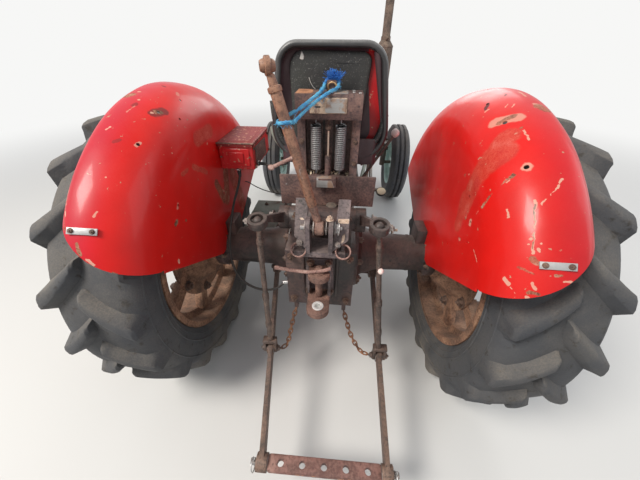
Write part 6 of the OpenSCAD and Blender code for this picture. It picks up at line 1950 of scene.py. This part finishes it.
def bonnet_details():
    bm = bmesh.new()
    add_tube(bm, [at(0, y, z) for y, z in ((856, 1239), (1000, 1241), (1300, 1241), (1700, 1241),
        (1792, 1239))], 0.007, 12)
    add_tube(bm, [at(0, y, z) for y, z in ((1806, 1240), (1960, 1241), (2100, 1240), (2131, 1230),
        (2134, 1190), (2134, 1150))], 0.007, 12)
    place_piece("bonnet_ridge", bm, bonnet_paint, sharp=50)
    bm = bmesh.new()
    for y in (1798.5, 850):
        half = [(216, 1012), (216, 1150)]
        half += [(125.5 + 90 * cos(a), 1150.5 + 90 * sin(a))
            for a in (radians(10 * i) for i in range(1, 10))]
        line = [at(-x, y, z) for x, z in half] + upright(y, reversed(half))
        add_tube(bm, line, 0.0028, 8, tension=False)
    place_piece("bonnet_seam", bm, black_rubber, sharp=60)
    bm = bmesh.new()
    for side in (LEFT, RIGHT):
        for y in (950, 1700):
            add_block(bm, at(side * 217, y, 1040), (0.005, 0.02, 0.052), bevel=0.0015)
            add_lathe(bm, mm((0, 8), (4, 8), (6, 6), (6, 0)), at(side * 219, y, 1054), X * side, 20, False)
        for y in (1860, 1980, 2080):
            for z in (668, 1140):
                add_lathe(bm, mm((0, 6.5), (2, 6), (3, 3.5), (3, 0)), at(side * 215, y, z), X * side, 16,
                    False)
    add_lathe(bm, mm((0, 30), (6, 30), (8, 34), (18, 34), (22, 28), (24, 0)), at(0, 1000, 1240), Z, 36,
        False)
    place_piece("bonnet_fittings", bm, lamp_shell, sharp=40)


def grille_details():
    bm = bmesh.new()
    y = NOSE_FRONT + 1
    for x in (-GRILLE_HALF - 3, GRILLE_HALF + 3):
        add_rod(bm, at(x, y, GRILLE_LOW - 6), at(x, y, GRILLE_HIGH + 6), 0.0065)
    for z in (GRILLE_LOW - 3, GRILLE_HIGH + 3):
        add_rod(bm, at(-GRILLE_HALF - 6, y, z), at(GRILLE_HALF + 6, y, z), 0.0065)
    for i in range(11):
        x = (i - 5) * 300 / 11
        if i == 5:
            add_block(bm, at(x, y - 1, 915), (0.018, 0.01, 0.428), bevel=0.003)
        else:
            add_rod(bm, at(x, y - 4, GRILLE_LOW), at(x, y - 4, GRILLE_HIGH), 0.0045, sides=12)
    place_piece("grille_bars", bm, lamp_shell, sharp=40)
    # Core of the radiator: upright tubes and level fins
    bm = bmesh.new()
    for i in range(23):
        x = -154 + 14 * i
        add_block(bm, at(x, 1882, 862), (0.0025, 0.007, 0.39))
    for i in range(38):
        add_block(bm, at(0, 1882, 672 + 10.2 * i), (0.316, 0.004, 0.0012))
    place_piece("radiator_core", bm, radiator_metal)
    bm = bmesh.new()
    for z in (662, 1080):
        add_block(bm, at(0, 1846, z), (0.346, 0.08, 0.032), bevel=0.006)
    add_lathe(bm, mm((1128, 26), (1134, 31), (1146, 31), (1151, 24), (1151, 0)), at(0, 1844, 0), Z, 32,
        False)
    place_piece("radiator_tanks", bm, greasy_steel, sharp=40)


def headlamp_details():
    lamp_y = NOSE_FRONT - 200
    rims, glass = bmesh.new(), bmesh.new()
    for side in (LEFT, RIGHT):
        middle = at(side * 307, lamp_y, 1010)
        add_lathe(rims, mm((62, 74.5), (64, 77.5), (80, 78), (87, 74), (88, 69), (84, 68)), middle, Y, 56)
        add_lathe(rims, mm((-4, 10), (-2, 14), (2, 14)), middle, Y, 20)
        add_bolt(rims, middle + Z * 0.0765 + Y * 0.072, Z, 0.009, 0.005)
        add_bolt(rims, at(side * 268, lamp_y + 40, 1010) - X * side * 0.028, X * side, 0.03, 0.01)
        add_lathe(glass, mm((83, 69), (90, 60), (97, 40), (101, 20), (102, 0)), middle, Y, 56, False)
    place_piece("headlamp_rims", rims, bright_steel, sharp=40)
    place_piece("headlamp_glass", glass, lamp_glass, sharp=60)


def glass_finish():
    """Ribbed lamp glass as an opaque pale surface: its pale colour is a painted reflection of the bright
    reflector behind it.
    """
    f = Finish("ribbed_lamp_glass", (0.6, 0.63, 0.63), 0.1)
    side_to_side = f.node("SeparateXYZ", {0: f.place}).outputs[0]
    ribs = f.math("SINE", f.math("MULTIPLY", side_to_side, 900.0))
    # Darker bands across the ribs: painted shade of the ribs' light and dark.
    f.colour = f.mix(f.step(ribs, -0.4, 0.8), (0.34, 0.36, 0.37), f.colour)
    f.heights.append((ribs, 0.0008))
    f.dust(0.08, 0.2)
    return f.done(Coat_Weight=1.0, Coat_Roughness=0.05)


lamp_glass = glass_finish()
bonnet_details()
grille_details()
headlamp_details()


# Dash: blank dials, switch, throttle; steering wheel's cap; levers and pedal pads
cream_pad = plain("cream_pedal_pad", (0.66, 0.56, 0.4), 0.7)
dial_black = plain("dial_black", (0.02, 0.02, 0.02), 0.25, Coat_Weight=1.0, Coat_Roughness=0.05)


def dash_details():
    face_y = 759.5
    rims, faces, needles = bmesh.new(), bmesh.new(), bmesh.new()
    for x, z, r in ((-104, 1150, 0.038), (104, 1150, 0.038), (0, 1176, 0.03)):
        place = at(x, face_y, z)
        add_lathe(rims, [(-0.002, r), (0.006, r), (0.008, r - 0.002), (0.008, r - 0.005),
                         (0.004, r - 0.006)], place, -Y, 44)
        add_lathe(faces, [(0.0, r - 0.004), (0.003, r - 0.004), (0.003, 0.0)], place, -Y, 40, False)
        for tick in range(7):
            turn = radians(-30 + 40 * tick)
            way = Vector((cos(turn), 0, sin(turn)))
            add_rod(needles, place - Y * 0.0034 + way * (r - 0.012), place - Y * 0.0034 + way * (r - 0.007),
                    0.0007, sides=6)
        way = Vector((-0.6, 0, 0.8))
        add_rod(needles, place - Y * 0.005 - way * 0.006, place - Y * 0.005 + way * (r - 0.014),
                0.0013, 0.0005, sides=8)
    for x, z in ((-50, 1086), (52, 1086)):
        add_lathe(rims, mm((0, 13), (5, 12), (6, 8), (20, 8), (22, 0)), at(x, face_y, z), -Y, 24, False)
    add_block(rims, at(0, face_y - 3, 1082), (0.008, 0.03, 0.022), bevel=0.002)
    for x in (-196, 196):
        for z in (930, 1100):
            add_lathe(rims, mm((0, 6.5), (2, 6), (3, 3), (3, 0)), at(x, face_y, z), -Y, 16, False)
    place_piece("dash_fittings", rims, lamp_shell, sharp=40)
    place_piece("dial_faces", faces, dial_black, sharp=40)
    place_piece("dial_needles", needles, pale_tear)
    bm = bmesh.new()
    add_tube(bm, at_each(((140, 757, 1040), (140, 735, 1040), (146, 712, 1052), (176, 696, 1080))), 0.0045,
        12)
    place_piece("throttle_lever", bm, greasy_steel, sharp=60)


def add_knob(bm, place, radius):
    """A round lever knob, a little flat below."""
    add_lathe(bm, [(-radius, 0.004), (-radius * 0.8, radius * 0.6), (-radius * 0.35, radius * 0.94),
        (radius * 0.1, radius), (radius * 0.6, radius * 0.8), (radius * 0.92, radius * 0.38),
        (radius, 0.0)], place, Z, 28, False)


def wheel_and_levers():
    hub = joint_place("steering_wheel_turn")
    lean = Vector((0, -sin(radians(30)), cos(radians(30))))
    bm = bmesh.new()
    add_lathe(bm, mm((30, 33), (35, 33), (40, 26), (46, 22), (48, 0)), hub, lean, 36, False)
    place_piece("steering_cap", bm, lamp_shell, "steering_wheel", sharp=40)
    bm = bmesh.new()
    add_knob(bm, at(-60, 430, 1020), 0.0212)
    add_knob(bm, at(80, 410, 940), 0.0192)
    place_piece("gear_knobs", bm, dial_black, sharp=60)
    bm = bmesh.new()
    add_knob(bm, at(262, 100, 1106), 0.0162)
    place_piece("lift_lever_knob", bm, knob_pink, sharp=60)
    bm = bmesh.new()
    # Notches of the quadrant as small black discs: painted shade in the holes.
    for hole in range(7):
        angle = radians(35 + 18 * hole)
        place = at(128.5, 60 + 22 * cos(angle), 872 + 22 * sin(angle))
        add_rod(bm, place, place + X * 0.0015, 0.0028, sides=12)
    place_piece("quadrant_notches", bm, black_moulding_and_shade)
    # Round pads on the pedals; their faces lean back
    back = Vector((0, -sin(radians(28)), cos(radians(28))))
    pads, ribs = bmesh.new(), bmesh.new()
    for x in (-215, 240, 325):
        place = at(x, 595, 612)
        add_lathe(pads, mm((10.2, 27), (14, 27), (15.5, 25), (15.5, 0)), place, back, 36, False)
        add_lathe(ribs, mm((0, 31.5), (12, 32), (13.5, 30.5), (13.5, 26.5), (10, 26.2)), place, back, 36)
    place_piece("pedal_pads", pads, cream_pad, sharp=40)
    place_piece("pedal_pad_rims", ribs, black_rubber, sharp=40)


dash_details()
wheel_and_levers()


# Exhaust: clamps, seams and the open mouth
def exhaust_details():
    bm = bmesh.new()
    for z in (1092, 1408):
        add_lathe(bm, mm((-10, 26.2), (-10, 29.2), (10, 29.2), (10, 26.2)), at(300, 1120, z), Z, 40)
        add_rod(bm, at(318, 1086, z), at(318, 1094, z) - Y * 0.02, 0.004)
        add_bolt(bm, at(300, 1088, z), -Y, 0.014, 0.01)
    for z in (1134, 1366):
        add_lathe(bm, mm((-3, 49.5), (-2, 51.5), (2, 51.5), (3, 49.5)), at(300, 1120, z), Z, 48)
    add_lathe(bm, mm((1850, 25), (1852, 26.2), (1881.5, 26.2), (1881.5, 22.5), (1880.5, 22.2)),
        at(300, 1120, 0), Z, 40)
    for y in (990, 1110, 1230, 1350):
        add_bolt(bm, at(165, y, 932), X, 0.018, 0.012)
    place_piece("exhaust_clamps", bm, exhaust_rust, sharp=40)
    # A thin black disc just inside the top: painted shade in the open pipe.
    bm = bmesh.new()
    add_lathe(bm, mm((1880.2, 22.3), (1880.6, 22.3), (1880.6, 0)), at(300, 1120, 0), Z, 32, False)
    place_piece("exhaust_mouth", bm, black_moulding_and_shade)


exhaust_details()


# Foot plate: bolts and worn tread bars; front axle's bolts, pins and grease nipples
def footplate_details():
    bm = bmesh.new()
    for y in (280, 325, 370, 415, 460, 505, 550):
        for x in (-455, -425, -395, -365, -335, -305):
            turn = Matrix.Rotation(radians(45 if (x + y) % 2 else -45), 4, "Z")
            add_block(bm, at(x + (10 if y % 2 else 0), y, 511.2), (0.016, 0.004, 0.0012), turn)
    place_piece("footplate_tread", bm, grey_green)
    bm = bmesh.new()
    for y in (295, 555):
        for x in (-420, -290):
            add_bolt(bm, at(x, y, 511), Z, 0.018, 0.008)
        add_bolt(bm, at(-170, y, 488), Z, 0.018, 0.01)
    place_piece("footplate_bolts", bm, link_rust, bevel=0.0008)


def front_axle_details():
    bm = bmesh.new()
    for side in (LEFT, RIGHT):
        for x in (150, 215):
            for way in (-1, 1):
                add_bolt(bm, at(side * x, 1829 + way * 32, 470), Y * way, 0.026, 0.014)
    add_bolt(bm, at(0, 1940, 470), Y, 0.03, 0.018)
    place_piece("axle_beam_bolts", bm, link_rust, bevel=0.001)
    for side, word in SIDES:
        bm = bmesh.new()
        pin = at(side * 495, 1829, 0)
        add_bolt(bm, pin + Z * 0.606, Z, 0.034, 0.012)
        add_rod(bm, pin + Z * 0.44 + Y * 0.026, pin + Z * 0.44 + Y * 0.038, 0.004)
        place_piece("knuckle_fittings_" + word, bm, greasy_steel, "knuckle_" + word,
            bevel=0.0008)


footplate_details()
front_axle_details()


# Solids of the frame that keep their shape, with their materials
KEPT_SOLIDS = (
    (oily_iron, ("centre_housing", "axle_trumpets")),
    (gear_iron, ("transmission",)),
    (engine_paint, ("engine", "steering_column")),
    (greasy_steel, ("front_support", "front_axle_beam", "knuckle_left", "knuckle_right", "tie_rod",
                    "drag_link", "drop_arm", "pedals", "levers")),
    (radius_rod_paint, ("radius_rods",)),
    (teal_paint, ("front_rim_left", "front_rim_right")),
    (rim_rust, ("rear_rim_left", "rear_rim_right")),
    (grey_green, ("footplate",)),
    (bonnet_paint, ("bonnet", "nose", "dash")),
    (radiator_metal, ("radiator",)),
    (lamp_shell, ("headlamps",)),
    (black_moulding_and_shade, ("steering_wheel",)),
    (exhaust_rust, ("exhaust",)),
    (frame_rust, ("seat_frame",)),
    (arm_iron, ("lift_arms",)),
    (link_rust, ("lower_links",)),
)
SOLID_BEVEL = 0.0015


def dress_solid(name, material):
    """Gives a kept solid its material, and rounds its sharp edges a little."""
    piece = nodes[name]
    piece.data.materials.clear()
    piece.data.materials.append(material)
    for face in piece.data.polygons:
        face.use_smooth = True
        face.material_index = 0
    weld = piece.modifiers.new("weld", "WELD")
    weld.merge_threshold = 0.00002
    round_edges(piece, SOLID_BEVEL, 2, 32)


for material, names in KEPT_SOLIDS:
    for name in names:
        dress_solid(name, material)


# Ground, backdrop and light
BACKDROP = (0.93, 0.93, 0.92)


def seen_rays(tree):
    """1 for rays that reach the camera straight, off a mirror or through glass."""
    rays = tree.node("LightPath").outputs
    return tree.math("MAXIMUM", tree.math("MAXIMUM", rays["Is Camera Ray"], rays["Is Glossy Ray"]),
        rays["Is Transmission Ray"])


def studio():
    floor = bpy.data.materials.new("studio_floor")
    floor.use_nodes = True
    t = Tree(floor.node_tree)
    shader = floor.node_tree.nodes["Principled BSDF"]
    t.feed(shader.inputs["Base Color"], (0.62, 0.61, 0.59))
    t.feed(shader.inputs["Roughness"], 0.9)
    seen = seen_rays(t)
    away = t.vector("LENGTH", t.node("TexCoord").outputs["Object"], out="Value")
    glow = t.node("Emission", {"Color": BACKDROP, "Strength": 1.0})
    joined = t.node("MixShader", {0: t.math("MULTIPLY", seen, t.step(away, 2.4, 7.0))})
    t.feed(joined.inputs[1], shader.outputs[0])
    t.feed(joined.inputs[2], glow.outputs[0])
    t.feed(floor.node_tree.nodes["Material Output"].inputs["Surface"], joined.outputs[0])
    bm = bmesh.new()
    bmesh.ops.create_grid(bm, x_segments=1, y_segments=1, size=30)
    ground = new_object("floor", bm)
    ground.data.materials.append(floor)
    world = bpy.data.worlds.new("studio")
    world.use_nodes = True
    w = Tree(world.node_tree)
    backdrop = world.node_tree.nodes["Background"]
    seen = seen_rays(w)
    w.feed(backdrop.inputs["Color"], w.mix(seen, (0.8, 0.84, 0.9), BACKDROP))
    w.feed(backdrop.inputs["Strength"], w.blend(seen, 0.55, 1.0))
    scene.world = world
    for name, place, energy, size, colour in (
            ("key", (-2.6, -2.8, 4.6), 300, 1.6, (1.0, 0.96, 0.9)),
            ("fill", (4.0, -1.0, 3.2), 60, 3.0, (0.92, 0.96, 1.0)),
            ("front", (1.5, 5.0, 3.5), 120, 3.0, (1.0, 0.98, 0.96))):
        data = bpy.data.lights.new(name, "AREA")
        data.energy, data.size, data.color = energy, size, colour
        lamp = bpy.data.objects.new(name, data)
        lamp.matrix_world = Matrix.Translation(place) @ aim(Vector(place) - Vector((0, -0.3, 0.7)))
        scene.collection.objects.link(lamp)


studio()
scene.view_settings.view_transform = "Standard"
